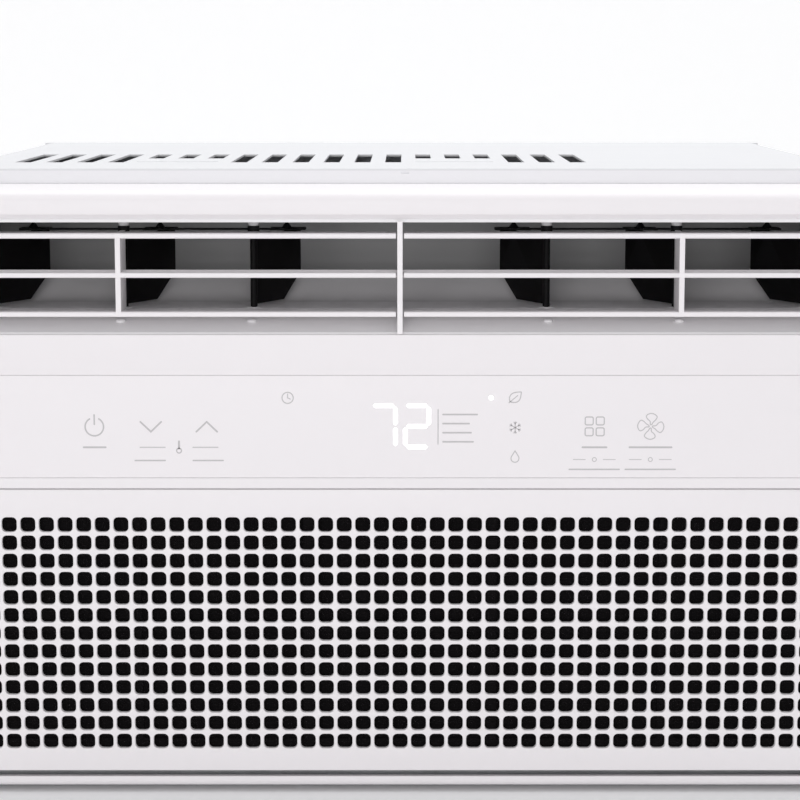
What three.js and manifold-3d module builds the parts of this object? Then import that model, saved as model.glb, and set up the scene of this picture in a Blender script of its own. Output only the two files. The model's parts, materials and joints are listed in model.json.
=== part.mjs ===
// Window air conditioner, in millimetres, +Z up. X runs across the front, the room side faces -Y,
// and the origin is the middle of the footprint on the surface that the base pan stands on.
import * as THREE from "three";
import { mergeVertices } from "three/addons/utils/BufferGeometryUtils.js";
import Module from "manifold-3d";

const wasm = await Module();
wasm.setup();

// ---- Driving dimensions -------------------------------------------------------------------------
const HALF_WIDTH = 240;
const FRONT = -202;
const BACK = 202;
const HEIGHT = 315;
const GAP = 0.3; // clearance between pieces that touch
const SHEET = 1.2; // painted steel sheet
const SHELL = 2.5; // moulded plastic wall

// Front bezel: its top is a step below the cabinet's, and the cabinet starts behind its rear edge.
const BEZEL_DEPTH = 58;
const BEZEL_TOP = HEIGHT - 8;
const BEZEL_BOTTOM = 3;
const SEAM = FRONT + BEZEL_DEPTH;
const FACE = 3; // thickness of the bezel's front wall

// Heights of the bands on the front face.
const OUTLET_TOP = 292;
const OUTLET_BOTTOM = 235.2;
const OUTLET_HALF = 226;
const OVERLAY_TOP = 215.1;
const OVERLAY_BOTTOM = 163;
const OVERLAY_HALF = 231.6;
const GRILLE_TOP = 157.2;
const GRILLE_BOTTOM = 11.5;
const GRILLE_HALF = 232;

// Outlet louvers: three blades on one rib, hung on the middle blade's axis.
const BLADE_DEPTH = 19;
const BLADE_HEIGHT = 2.6;
const BLADE_PITCH = 19.5;
const LOUVER_AXIS = { y: FRONT + 10.5, z: 264.9 };
const RIB_X = 139.7;
const RIB_DEPTH = 22;
const POST_HALF = 1.3;

// Vertical vanes behind the louvers, turned outwards by REST_TURN and joined by a sliding link bar.
const VANE_AXIS_Y = FRONT + 32;
const VANE_X = [74.5, 140.4, 206.3];
const VANE_CHORD = 43;
const VANE_BOTTOM = 247.2;
const VANE_TOP = 282.5;
const REST_TURN = 30;
const PEG_REACH = 31;
const LINK_Z = VANE_TOP + 0.7;
const LINK_THICK = 1.6;

// Fan axis, which the motor, the blower wheel and the condenser fan share.
const AXIS = { x: -35, z: 135 };
const SCROLL_FRONT = FRONT + 80;
const SCROLL_BACK = SCROLL_FRONT + 70;
const WHEEL_RADIUS = 76;
const FAN_RADIUS = 122;
const BULKHEAD_Y = SCROLL_BACK + 4;
const SHROUD_Y = BULKHEAD_Y + 166;

// ---- Solids -------------------------------------------------------------------------------------
const root = new THREE.Group();
root.name = "window_air_conditioner";

function toSolid(geometry) {
  const bare = geometry.clone();
  bare.deleteAttribute("normal");
  bare.deleteAttribute("uv");
  const merged = mergeVertices(bare, 1e-4);
  return new wasm.Manifold(new wasm.Mesh({
    numProp: 3,
    vertProperties: new Float32Array(merged.attributes.position.array),
    triVerts: new Uint32Array(merged.index.array),
  }));
}

function toGeometry(solid) {
  const mesh = solid.getMesh();
  const geometry = new THREE.BufferGeometry();
  const positions = new Float32Array(mesh.vertProperties);
  geometry.setAttribute("position", new THREE.BufferAttribute(positions, 3));
  geometry.setIndex(new THREE.BufferAttribute(new Uint32Array(mesh.triVerts), 1));
  geometry.computeVertexNormals();
  return geometry;
}

const join = (first, ...others) =>
  toGeometry(others.reduce((sum, piece) => sum.add(toSolid(piece)), toSolid(first)));
const cut = (first, ...tools) =>
  toGeometry(tools.reduce((rest, tool) => rest.subtract(toSolid(tool)), toSolid(first)));
const common = (first, second) => toGeometry(toSolid(first).intersect(toSolid(second)));

function box(x0, x1, y0, y1, z0, z1) {
  const geometry = new THREE.BoxGeometry(x1 - x0, y1 - y0, z1 - z0);
  return geometry.translate((x0 + x1) / 2, (y0 + y1) / 2, (z0 + z1) / 2);
}

// A prism whose section lies across one axis. Its section is a list of points or a THREE.Shape in
// (y, z) for "x", (x, z) for "y" and (x, y) for "z".
function prism(axis, section, from, to) {
  const shape = Array.isArray(section)
    ? new THREE.Shape(section.map(([u, v]) => new THREE.Vector2(u, v)))
    : section;
  const geometry = new THREE.ExtrudeGeometry(shape, {
    depth: to - from, bevelEnabled: false, curveSegments: 2,
  });
  if (axis === "z") return geometry.translate(0, 0, from);
  const X = new THREE.Vector3(1, 0, 0);
  const Y = new THREE.Vector3(0, 1, 0);
  const Z = new THREE.Vector3(0, 0, 1);
  const turn = new THREE.Matrix4();
  if (axis === "x") return geometry.applyMatrix4(turn.makeBasis(Y, Z, X)).translate(from, 0, 0);
  return geometry.applyMatrix4(turn.makeBasis(X, Z, Y.negate())).translate(0, to, 0);
}

// A round bar, or a cone where the end radius differs, along one axis through (u, v).
function rod(axis, u, v, radius, from, to, sides = 16, endRadius = radius) {
  const geometry = new THREE.CylinderGeometry(endRadius, radius, to - from, sides);
  geometry.translate(0, (from + to) / 2, 0);
  if (axis === "x") return geometry.rotateZ(-Math.PI / 2).translate(0, u, v);
  if (axis === "y") return geometry.translate(u, 0, v);
  return geometry.rotateX(Math.PI / 2).translate(u, v, 0);
}

// A turned body: [radius, height] pairs along one axis through (u, v).
function turned(axis, u, v, profile, sides = 24) {
  const points = profile.map(([radius, height]) => new THREE.Vector2(radius, height));
  const geometry = new THREE.LatheGeometry(points, sides);
  if (axis === "y") return geometry.translate(u, 0, v);
  return geometry.rotateX(Math.PI / 2).translate(u, v, 0);
}

function roundedRectangle(x0, x1, y0, y1, r) {
  const shape = new THREE.Shape();
  shape.moveTo(x0 + r, y0);
  shape.lineTo(x1 - r, y0);
  shape.absarc(x1 - r, y0 + r, r, -Math.PI / 2, 0);
  shape.lineTo(x1, y1 - r);
  shape.absarc(x1 - r, y1 - r, r, 0, Math.PI / 2);
  shape.lineTo(x0 + r, y1);
  shape.absarc(x0 + r, y1 - r, r, Math.PI / 2, Math.PI);
  shape.lineTo(x0, y0 + r);
  shape.absarc(x0 + r, y0 + r, r, Math.PI, Math.PI * 1.5);
  return shape;
}

// A tube's solid along a smooth curve through the given points.
function pipe(points, radius, steps, sides) {
  const section = new THREE.Shape();
  section.absarc(0, 0, radius, 0, Math.PI * 2);
  const path = new THREE.CatmullRomCurve3(points.map((p) => new THREE.Vector3(...p)));
  return new THREE.ExtrudeGeometry(section, {
    steps, curveSegments: sides, extrudePath: path, bevelEnabled: false,
  });
}

const series = (count, first, step) => Array.from({ length: count }, (_, i) => first + i * step);
const radians = THREE.MathUtils.degToRad;

// ---- Materials ----------------------------------------------------------------------------------
const finish = (color, roughness, metalness = 0) => () =>
  new THREE.MeshStandardMaterial({ color, roughness, metalness });
const whitePlastic = finish("#efecee", 0.45);
const whitePaint = finish("#eeeef2", 0.4, 0.1);
const blackPlastic = finish("#0a0a0b", 0.5);
const greyPlastic = finish("#b9babd", 0.55);
const filterMesh = finish("#1b1c1e", 0.9);
const galvanised = finish("#a9adb0", 0.45, 0.8);
const aluminium = finish("#c5c8cb", 0.4, 0.9);
const copper = finish("#b5703f", 0.35, 1);
const blackPaint = finish("#17181a", 0.5, 0.2);
const rubber = finish("#202022", 0.9);
const foam = finish("#f2f2ef", 0.9);
const circuitBoard = finish("#1f5b3a", 0.6);
const steel = finish("#b8babd", 0.35, 1);

function piece(name, geometry, material, parent = root) {
  const mesh = new THREE.Mesh(geometry, material());
  mesh.name = name;
  parent.add(mesh);
  return mesh;
}

// ---- Base and casing ----------------------------------------------------------------------------
const PAN = { x: 236.5, front: FRONT + 13, back: BACK - 7, rim: 14, floor: 2, wall: 1.5 };
const DRAIN = { x: 60, y: 182, radius: 6 };

function basePan() {
  const outer = box(-PAN.x, PAN.x, PAN.front, PAN.back, 0, PAN.rim);
  const hollow = box(
    -PAN.x + PAN.wall, PAN.x - PAN.wall, PAN.front + PAN.wall, PAN.back - PAN.wall, PAN.floor, 20);
  return cut(outer, hollow, rod("z", DRAIN.x, DRAIN.y, DRAIN.radius, -1, 5));
}

// Nineteen slots across the top: three and three of them, over the stiffening pads, are half as long.
const TOP_SLOT = { count: 19, first: -206.9, pitch: 16.9, half: 4.4, front: -79, back: 19, middle: -32 };
const SHORT_SLOTS = [4, 5, 6, 13, 14, 15];
const SIDE_SLOT = { count: 9, first: 66, pitch: 13, half: 2, bottom: 90, top: 250 };
const CORNER = { x: 228, low: 24, high: 300 };
const CASE_BACK = BACK - 4 - GAP;

function cabinet() {
  const outline = roundedRectangle(-HALF_WIDTH, HALF_WIDTH, -20, HEIGHT, 6);
  const inside = roundedRectangle(-HALF_WIDTH + SHEET, HALF_WIDTH - SHEET, -30, HEIGHT - SHEET, 5);
  const shell = cut(
    prism("y", outline, SEAM, CASE_BACK),
    prism("y", inside, SEAM - 1, CASE_BACK + 1),
    box(-250, 250, SEAM - 1, CASE_BACK + 1, -40, 6));
  const edge = HALF_WIDTH - SHEET / 2;
  const frontFlange = box(-edge + 6, edge - 6, SEAM, SEAM + SHEET, BEZEL_TOP - 8, HEIGHT - SHEET / 2);
  const rearFlange = cut(
    box(-edge, edge, CASE_BACK - SHEET, CASE_BACK, 6, HEIGHT - 6),
    box(-edge + 20, edge - 20, CASE_BACK - 2, CASE_BACK + 1, -1, HEIGHT - 22));
  const topSlots = series(TOP_SLOT.count, TOP_SLOT.first, TOP_SLOT.pitch).map((x, i) => {
    const front = SHORT_SLOTS.includes(i) ? TOP_SLOT.middle : TOP_SLOT.front;
    return box(x - TOP_SLOT.half, x + TOP_SLOT.half, front, TOP_SLOT.back, HEIGHT - 5, HEIGHT + 5);
  });
  const sideSlots = series(SIDE_SLOT.count, SIDE_SLOT.first, SIDE_SLOT.pitch).map((y) =>
    box(-250, 250, y - SIDE_SLOT.half, y + SIDE_SLOT.half, SIDE_SLOT.bottom, SIDE_SLOT.top));
  const screwHoles = [-1, 1].flatMap((side) => [CORNER.low, CORNER.high].map((z) =>
    rod("y", side * CORNER.x, z, 2.5, CASE_BACK - 3, CASE_BACK + 2, 8)));
  return cut(join(shell, frontFlange, rearFlange), ...topSlots, ...sideSlots, ...screwHoles);
}

// The rear guard keeps fingers off the condenser: rows of long slots in a flat plate.
function rearGuard() {
  const plate = box(-HALF_WIDTH, HALF_WIDTH, BACK - 4, BACK, 6, HEIGHT);
  const rows = series(9, 36, 28).flatMap((z) =>
    [-132, 0, 132].map((x) => box(x - 60, x + 60, BACK - 6, BACK + 2, z, z + 20)));
  const screwSeats = [-1, 1].flatMap((side) => [CORNER.low, CORNER.high].flatMap((z) => [
    rod("y", side * CORNER.x, z, 2.5, BACK - 6, BACK - 1, 8),
    rod("y", side * CORNER.x, z, 4.8, BACK - 2.6, BACK + 1, 10)]));
  return cut(plate, ...rows, ...screwSeats);
}

function rearScrew(side, z) {
  const head = rod("y", side * CORNER.x, z, 4.3, BACK - 2.3, BACK - 0.2, 10);
  return join(head, rod("y", side * CORNER.x, z, 2, BACK - 14, BACK - 2, 8));
}

function drainPlug() {
  const stem = rod("z", DRAIN.x, DRAIN.y, DRAIN.radius - GAP, 0.3, PAN.floor + 1);
  return join(stem, rod("z", DRAIN.x, DRAIN.y, DRAIN.radius + 3, PAN.floor + GAP, PAN.floor + 2.3));
}

// ---- Front bezel --------------------------------------------------------------------------------
const HINGE = { y: FRONT + 5, z: 17, pin: 1.7, reach: 234.2 };
const GLAND = { y: FRONT + 37, z: 26 };

function bezelOutline() {
  const side = new THREE.Shape();
  const edge = 7;
  side.moveTo(SEAM - GAP, BEZEL_BOTTOM);
  side.lineTo(SEAM - GAP, BEZEL_TOP);
  side.lineTo(FRONT + edge, BEZEL_TOP);
  side.absarc(FRONT + edge, BEZEL_TOP - edge, edge, Math.PI / 2, Math.PI);
  side.lineTo(FRONT, BEZEL_BOTTOM + 4);
  side.absarc(FRONT + 4, BEZEL_BOTTOM + 4, 4, Math.PI, Math.PI * 1.5);
  return side;
}

function bezel() {
  const plan = roundedRectangle(-HALF_WIDTH, HALF_WIDTH, FRONT, SEAM + 20, 6);
  const block = common(
    prism("x", bezelOutline(), -HALF_WIDTH, HALF_WIDTH),
    prism("z", plan, 0, HEIGHT));
  const inner = HALF_WIDTH - SHELL;
  const shell = cut(
    block,
    box(-inner, inner, FRONT + FACE, SEAM + 5, BEZEL_BOTTOM + SHELL, BEZEL_TOP - SHELL),
    box(-inner, inner, FRONT + 10, SEAM + 5, -5, BEZEL_BOTTOM + SHELL + 1));
  const lug = (side) => {
    const [x0, x1] = side > 0 ? [GRILLE_HALF + 1, inner + 1] : [-inner - 1, -GRILLE_HALF - 1];
    return box(x0, x1, FRONT + FACE - 1, FRONT + 10, HINGE.z - 6, HINGE.z + 6);
  };
  return cut(
    join(shell, lug(1), lug(-1)),
    box(-OUTLET_HALF, OUTLET_HALF, FRONT - 5, FRONT + FACE + 1, OUTLET_BOTTOM, OUTLET_TOP),
    box(-OVERLAY_HALF, OVERLAY_HALF, FRONT - 5, FRONT + 1.5, OVERLAY_BOTTOM, OVERLAY_TOP),
    box(-22, 24, FRONT - 5, FRONT + FACE + 1, OVERLAY_BOTTOM + 8, OVERLAY_TOP - 8),
    box(-GRILLE_HALF - 0.5, GRILLE_HALF + 0.5, FRONT - 5, FRONT + FACE + 1,
      GRILLE_BOTTOM - 3, GRILLE_TOP + 0.5),
    rod("x", HINGE.y, HINGE.z, HINGE.pin + 0.4, -inner - 0.5, inner + 0.5, 12),
    rod("x", GLAND.y, GLAND.z, 6, -10, HALF_WIDTH + 1, 16),
    rod("x", GLAND.y, GLAND.z, 9.4, HALF_WIDTH - 1.2, HALF_WIDTH + 1, 16));
}

function cordGland() {
  const flange = rod("x", GLAND.y, GLAND.z, 9, HALF_WIDTH - 1, HALF_WIDTH, 16);
  const neck = rod("x", GLAND.y, GLAND.z, 5.6, HALF_WIDTH - 13, HALF_WIDTH - 0.5, 16);
  const bore = rod("x", GLAND.y, GLAND.z, 3.6, HALF_WIDTH - 20, HALF_WIDTH + 2, 12);
  return cut(join(flange, neck), bore);
}

function outletPost() {
  const post = box(
    -POST_HALF, POST_HALF, FRONT + 0.2, FRONT + 1.5 + BLADE_DEPTH, OUTLET_BOTTOM + 7.3, OUTLET_TOP - 1.4);
  const front = box(
    -POST_HALF, POST_HALF, FRONT + 0.2, FRONT + FACE - 0.4, OUTLET_BOTTOM + GAP, OUTLET_TOP - GAP);
  return cut(join(post, front), rod("x", LOUVER_AXIS.y, LOUVER_AXIS.z, 2.4, -5, 5, 12));
}

// ---- Air outlet ---------------------------------------------------------------------------------
const DUCT_BACK = SCROLL_FRONT - GAP;
const DUCT_FLOOR = 245.5;
const DUCT_CEILING = OUTLET_TOP - 1;
const PIVOT = { pin: 1.25, hole: 1.65 };

function ductSection(offset, front, back) {
  return [
    [front, 237.2 - offset], [FRONT + 20, 242 - offset], [VANE_AXIS_Y - 4, DUCT_FLOOR - offset],
    [back, DUCT_FLOOR - offset], [back, DUCT_CEILING + offset * 1.2], [front, DUCT_CEILING + offset * 1.2]];
}

function outletDuct() {
  const wide = OUTLET_HALF + SHELL;
  const outer = prism("x", ductSection(SHELL, FRONT + FACE + GAP, DUCT_BACK), -wide, wide);
  const inner = prism("x", ductSection(0, FRONT, DUCT_BACK + 5), -OUTLET_HALF, OUTLET_HALF);
  const pivots = [-1, 1].flatMap((side) => VANE_X.flatMap((x) => [
    rod("z", side * x, VANE_AXIS_Y, PIVOT.hole, DUCT_FLOOR - 5, DUCT_FLOOR + 2, 8),
    rod("z", side * x, VANE_AXIS_Y, PIVOT.hole, DUCT_CEILING - 2, DUCT_CEILING + 6, 8)]));
  const louverHole = rod("x", LOUVER_AXIS.y, LOUVER_AXIS.z, 2.4, -wide - 1, wide + 1, 12);
  return cut(outer, inner, louverHole, ...pivots);
}

// One moulding for each half of the outlet; side is -1 on the left and 1 on the right.
function louver(side) {
  const near = POST_HALF + 0.7;
  const far = OUTLET_HALF - 1;
  const front = FRONT + 0.6;
  const between = (a, b) => (side > 0 ? [a, b] : [-b, -a]);
  const blade = (z) => prism("x", [
    [front, z + BLADE_HEIGHT / 2 - 0.5], [front, z - BLADE_HEIGHT / 2 + 0.5],
    [front + 0.6, z - BLADE_HEIGHT / 2], [front + BLADE_DEPTH, z - 0.8],
    [front + BLADE_DEPTH, z + 0.8], [front + 0.6, z + BLADE_HEIGHT / 2]], ...between(near, far));
  const half = BLADE_PITCH + BLADE_HEIGHT / 2 - 0.1;
  const [ribLow, ribHigh] = between(RIB_X - POST_HALF, RIB_X + POST_HALF);
  const rib = box(
    ribLow, ribHigh, front + 0.1, FRONT + RIB_DEPTH, LOUVER_AXIS.z - half, LOUVER_AXIS.z + half);
  const stub = rod(
    "x", LOUVER_AXIS.y, LOUVER_AXIS.z, 1.9, ...between(GAP, OUTLET_HALF + SHELL - 0.5), 10);
  const blades = [-1, 0, 1].map((row) => blade(LOUVER_AXIS.z + row * BLADE_PITCH));
  return join(...blades, rib, stub);
}

// A vane in its own frame: the pivot is the Z axis and the blade runs back along +Y.
function vane() {
  const outline = [
    [0, VANE_BOTTOM], [26.6, VANE_BOTTOM], [VANE_CHORD, 260.7], [VANE_CHORD, VANE_TOP], [0, VANE_TOP]];
  const blade = prism("x", outline, -0.8, 0.8);
  const rodPart = rod("z", 0, 0, 1.8, DUCT_FLOOR + 0.5, VANE_TOP + 1, 12);
  const pad = rod("z", 0, 0, 3, VANE_TOP + 0.4, VANE_TOP + 4.6, 12);
  const pin = rod("z", 0, 0, PIVOT.pin, DUCT_FLOOR - 2.2, DUCT_CEILING + 2, 8);
  const peg = rod("z", 0, PEG_REACH, 1.5, VANE_TOP - 1, LINK_Z + LINK_THICK + 0.4, 10);
  const barb = rod("z", 0, PEG_REACH, 2.2, LINK_Z + LINK_THICK + 0.3, LINK_Z + LINK_THICK + 4, 10, 0.3);
  return join(blade, rodPart, pad, pin, peg, barb);
}

// The link bar slides sideways; each peg stands in a slot that lets it swing fore and aft.
function linkBar(side) {
  const turn = radians(REST_TURN);
  const pegs = VANE_X.map((x) => side * (x - PEG_REACH * Math.sin(turn)));
  const pegY = VANE_AXIS_Y + PEG_REACH * Math.cos(turn);
  const ends = [pegs[0] + side * -10, pegs[2] + side * 7].sort((a, b) => a - b);
  const plan = roundedRectangle(ends[0], ends[1], pegY - 6.6, pegY + 7.8, 3);
  const slots = pegs.map((x) => box(x - 2.8, x + 2.8, pegY - 4.4, pegY + 6, LINK_Z - 1, LINK_Z + 4));
  return cut(prism("z", plan, LINK_Z, LINK_Z + LINK_THICK), ...slots);
}

// ---- Controls -----------------------------------------------------------------------------------
function controlOverlay() {
  const half = OVERLAY_HALF - GAP;
  return prism("y", roundedRectangle(-half, half, OVERLAY_BOTTOM + GAP, OVERLAY_TOP - GAP, 1.5),
    FRONT, FRONT + 1.2);
}

function displayModule() {
  const body = box(-20, 22, FRONT + 1.6, FRONT + 11, OVERLAY_BOTTOM + 9, OVERLAY_TOP - 9);
  const pins = series(4, -12, 9).map((x) =>
    box(x - 1, x + 1, FRONT + 10.5, FRONT + 12.2, OVERLAY_BOTTOM + 16, OVERLAY_BOTTOM + 36));
  return join(body, ...pins);
}

function controlBoard() {
  const plate = box(-190, 190, FRONT + 12.5, FRONT + 14.1, OVERLAY_BOTTOM + 3, OVERLAY_TOP - 3);
  const chips = [-120, -60, 70, 130].map((x) =>
    box(x - 8, x + 8, FRONT + 14, FRONT + 16.5, OVERLAY_BOTTOM + 18, OVERLAY_BOTTOM + 32));
  return join(plate, ...chips);
}

// ---- Intake -------------------------------------------------------------------------------------
function intakeGrille() {
  const face = FRONT + 3;
  const plate = box(-GRILLE_HALF, GRILLE_HALF, FRONT, face, GRILLE_BOTTOM, GRILLE_TOP);
  const rim = [-1, 1].map((side) => {
    const [x0, x1] = side > 0 ? [GRILLE_HALF - 2.5, GRILLE_HALF] : [-GRILLE_HALF, -GRILLE_HALF + 2.5];
    return box(x0, x1, face - 1, FRONT + 9, GRILLE_BOTTOM + 2, GRILLE_TOP - 3);
  });
  const pins = [[GRILLE_HALF - 3, HINGE.reach], [-HINGE.reach, -GRILLE_HALF + 3]].map(([a, b]) =>
    rod("x", HINGE.y, HINGE.z, HINGE.pin, a, b, 12));
  const windows = series(8, -201.6, 57.6).flatMap((x) => series(3, 20, 43).map((z) =>
    box(x - 26, x + 26, FRONT - 1, face + 1, z, z + 39)));
  return cut(join(plate, ...rim, ...pins), ...windows);
}

function airFilter() {
  const [y0, y1] = [FRONT + 4.3, FRONT + 8.3];
  const half = GRILLE_HALF - 4;
  const frame = box(-half, half, y0, y1, 21, GRILLE_TOP - 4);
  const windows = series(5, -180, 90).flatMap((x) => series(2, 27, 62).map((z) =>
    box(x - 41, x + 41, y0 - 1, y1 + 1, z, z + 56)));
  return join(cut(frame, ...windows), box(-half + 3, half - 3, y0 + 1.6, y0 + 2.4, 24, GRILLE_TOP - 7));
}

// ---- Cold side: evaporator, scroll and blower ---------------------------------------------------
const EVAPORATOR = { x0: -212, x1: 150, front: FRONT + 18.5, back: FRONT + 56, z0: 24, z1: 229 };
const CONDENSER = { x0: -222, x1: 146, front: BACK - 62, back: BACK - 26, z0: 4, z1: 288 };

// A fin pack between two end plates, with the tubes' return bends outside each plate.
function coil({ x0, x1, front, back, z0, z1 }, bends) {
  const middle = (front + back) / 2;
  const pack = box(x0 + 4, x1 - 4, front + 2, back - 2, z0 + 2, z1 - 2);
  const core = box(x0 + 1, x1 - 1, front + 4, back - 4, z0 + 4, z1 - 4);
  const plates = [[x0, x0 + 1.5], [x1 - 1.5, x1]].map(([a, b]) => box(a, b, front, back, z0, z1));
  const pitch = (z1 - z0) / bends;
  const loops = series(bends, z0 + pitch / 2, pitch).flatMap((z) => [
    returnBend(x0 + 1, middle, z, -1), returnBend(x1 - 1, middle, z, 1)]);
  return join(pack, core, ...plates, ...loops);
}

function returnBend(x, y, z, side) {
  const reach = 7;
  const path = [
    [x - side * 3, y - 9, z], [x + side * reach * 0.6, y - 8.5, z], [x + side * reach, y, z],
    [x + side * reach * 0.6, y + 8.5, z], [x - side * 3, y + 9, z]];
  return pipe(path, 3.4, 6, 3);
}

function drainTray() {
  const { x0, x1, front, back } = EVAPORATOR;
  const outer = box(x0 - 2, x1 + 2, front - 2, back + 2, PAN.floor + GAP, EVAPORATOR.z0 + 3);
  const hollow = box(x0 - 0.4, x1 + 0.4, front - 0.4, back + 0.4, EVAPORATOR.z0 - GAP, 40);
  return cut(outer, hollow, box(x0 + 20, x1 - 20, front + 5, back - 5, PAN.floor - 1, 40));
}

function blowerScroll() {
  const lower = box(-204, 150, SCROLL_FRONT, SCROLL_BACK, 17, 250);
  const upper = box(-232, 232, SCROLL_FRONT, SCROLL_BACK, 238, 300);
  const [front, back] = [SCROLL_FRONT + 6, SCROLL_BACK - 6];
  const wheelSpace = WHEEL_RADIUS + 11;
  const throat = prism("y", [
    [AXIS.x - wheelSpace, AXIS.z], [AXIS.x + wheelSpace, AXIS.z], [148 - 8, 240], [224, DUCT_FLOOR],
    [224, DUCT_CEILING], [-224, DUCT_CEILING], [-224, DUCT_FLOOR], [-204 + 8, 240]], front, back);
  return cut(
    join(lower, upper),
    throat,
    rod("y", AXIS.x, AXIS.z, wheelSpace, front, back, 32),
    rod("y", AXIS.x, AXIS.z, WHEEL_RADIUS - 12, SCROLL_FRONT - 1, front + 1, 28),
    rod("y", AXIS.x, AXIS.z, 14, back - 1, SCROLL_BACK + 1, 16),
    box(-224, 224, SCROLL_FRONT - 1, front + 1, DUCT_FLOOR, DUCT_CEILING));
}

function blowerWheel() {
  const [front, back] = [SCROLL_FRONT + 9, SCROLL_BACK - 9];
  const { x, z } = AXIS;
  const disc = rod("y", x, z, WHEEL_RADIUS, back - 2, back, 32);
  const hub = rod("y", x, z, 11, back - 22, back - 1, 16);
  const ring = cut(
    rod("y", x, z, WHEEL_RADIUS, front, front + 3, 32),
    rod("y", x, z, WHEEL_RADIUS - 13, front - 1, front + 4, 32));
  const count = 22;
  const blades = series(count, 0, (Math.PI * 2) / count).map((angle) => {
    const blade = box(-0.9, 0.9, front + 2, back - 1, -6, 6);
    blade.rotateY(radians(35)).translate(0, 0, WHEEL_RADIUS - 7);
    return blade.rotateY(angle).translate(x, 0, z);
  });
  return cut(join(disc, hub, ring, ...blades), rod("y", x, z, 4.4, front, back + 5, 12));
}

const PIPE_PORT = { x0: 156, x1: 188, z0: 186, z1: 222 };

function bulkhead() {
  const plate = box(-PAN.x + 2, PAN.x - 2, BULKHEAD_Y, BULKHEAD_Y + SHEET, PAN.floor + GAP, 305);
  const foot = box(-PAN.x + 2, PAN.x - 2, BULKHEAD_Y, BULKHEAD_Y + 12, PAN.floor + GAP, PAN.floor + 1.5);
  return cut(
    join(plate, foot),
    rod("y", AXIS.x, AXIS.z, 20, BULKHEAD_Y - 2, BULKHEAD_Y + 4, 20),
    box(PIPE_PORT.x0, PIPE_PORT.x1, BULKHEAD_Y - 2, BULKHEAD_Y + 4, PIPE_PORT.z0, PIPE_PORT.z1));
}

// ---- Fan motor and condenser fan ----------------------------------------------------------------
const MOTOR = { front: BULKHEAD_Y + 8, length: 78, radius: 43, bore: 5 };

function fanMotor() {
  const { front, length, radius, bore } = MOTOR;
  const back = front + length;
  return turned("y", AXIS.x, AXIS.z, [
    [bore, front], [14, front], [14, front + 5], [radius - 6, front + 8], [radius, front + 14],
    [radius, back - 14], [radius - 6, back - 8], [14, back - 5], [14, back], [bore, back],
    [bore, front]], 28);
}

function motorShaft() {
  return rod("y", AXIS.x, AXIS.z, 4, SCROLL_FRONT + 30, SHROUD_Y - 4, 12);
}

function motorBracket() {
  const { front, length, radius } = MOTOR;
  const seat = AXIS.z - 20;
  const [y0, y1] = [front + 18, front + length - 18];
  const section = [[AXIS.x - 66, PAN.floor + GAP], [AXIS.x + 66, PAN.floor + GAP],
    [AXIS.x + 46, seat], [AXIS.x - 46, seat]];
  const hollow = [[AXIS.x - 54, 5], [AXIS.x + 54, 5], [AXIS.x + 40, 76], [AXIS.x - 40, 76]];
  return cut(
    prism("y", section, y0, y1),
    prism("y", hollow, y0 - 1, y1 + 1),
    rod("y", AXIS.x, AXIS.z, radius + GAP, y0 - 2, y1 + 2, 28));
}

function motorStrap() {
  const { front, length, radius } = MOTOR;
  const middle = front + length / 2;
  return cut(
    rod("y", AXIS.x, AXIS.z, radius + 2.2, middle - 8, middle + 8, 28),
    rod("y", AXIS.x, AXIS.z, radius + GAP, middle - 9, middle + 9, 28),
    box(-150, 80, middle - 10, middle + 10, 0, AXIS.z - 19));
}

function condenserFan() {
  const { x, z } = AXIS;
  const hubFront = SHROUD_Y - 28;
  const hub = cut(rod("y", x, z, 20, hubFront, hubFront + 18, 20), rod("y", x, z, 4.4, 0, 200, 12));
  const ring = cut(
    rod("y", x, z, FAN_RADIUS, hubFront + 4, hubFront + 15, 32),
    rod("y", x, z, FAN_RADIUS - 3, hubFront, hubFront + 20, 32));
  const blades = series(5, 0, (Math.PI * 2) / 5).map((angle) => {
    const blade = box(-26, 26, -1.1, 1.1, 15, FAN_RADIUS - 2.2);
    const position = blade.attributes.position;
    for (let i = 0; i < position.count; i += 1) {
      const out = (position.getZ(i) - 15) / FAN_RADIUS;
      position.setX(i, position.getX(i) * (0.55 + 0.5 * out));
    }
    blade.rotateZ(radians(22)).rotateY(angle);
    return blade.translate(x, hubFront + 9, z);
  });
  return join(hub, ring, ...blades);
}

function fanShroud() {
  const { x, z } = AXIS;
  const plate = box(-226, 150, SHROUD_Y, SHROUD_Y + 1.6, PAN.floor + GAP, 292);
  const collar = rod("y", x, z, FAN_RADIUS + 5.5, SHROUD_Y - 24, SHROUD_Y + 1, 32);
  const bore = rod("y", x, z, FAN_RADIUS + 4, SHROUD_Y - 30, SHROUD_Y + 5, 32);
  return cut(join(plate, collar), bore);
}

// ---- Refrigerant circuit ------------------------------------------------------------------------
const COMPRESSOR = { x: 186, y: BULKHEAD_Y + 93, radius: 45, foot: 14, top: 186 };
const ACCUMULATOR = { x: 120, y: BULKHEAD_Y + 68, radius: 15, low: 60, top: 168 };

function compressor() {
  const { x, y, radius, foot, top } = COMPRESSOR;
  const shell = turned("z", x, y, [
    [0, foot + 1], [radius - 10, foot + 1], [radius - 2, foot + 8], [radius, foot + 14],
    [radius, top - 16], [radius - 4, top - 7], [radius - 16, top - 1], [0, top]], 28);
  const plate = prism("z", roundedRectangle(x - 44, x + 44, y - 44, y + 44, 12), foot, foot + 3);
  const terminals = rod("z", x - 16, y - 16, 11, top - 10, top + 6, 12);
  return join(shell, plate, terminals);
}

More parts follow.
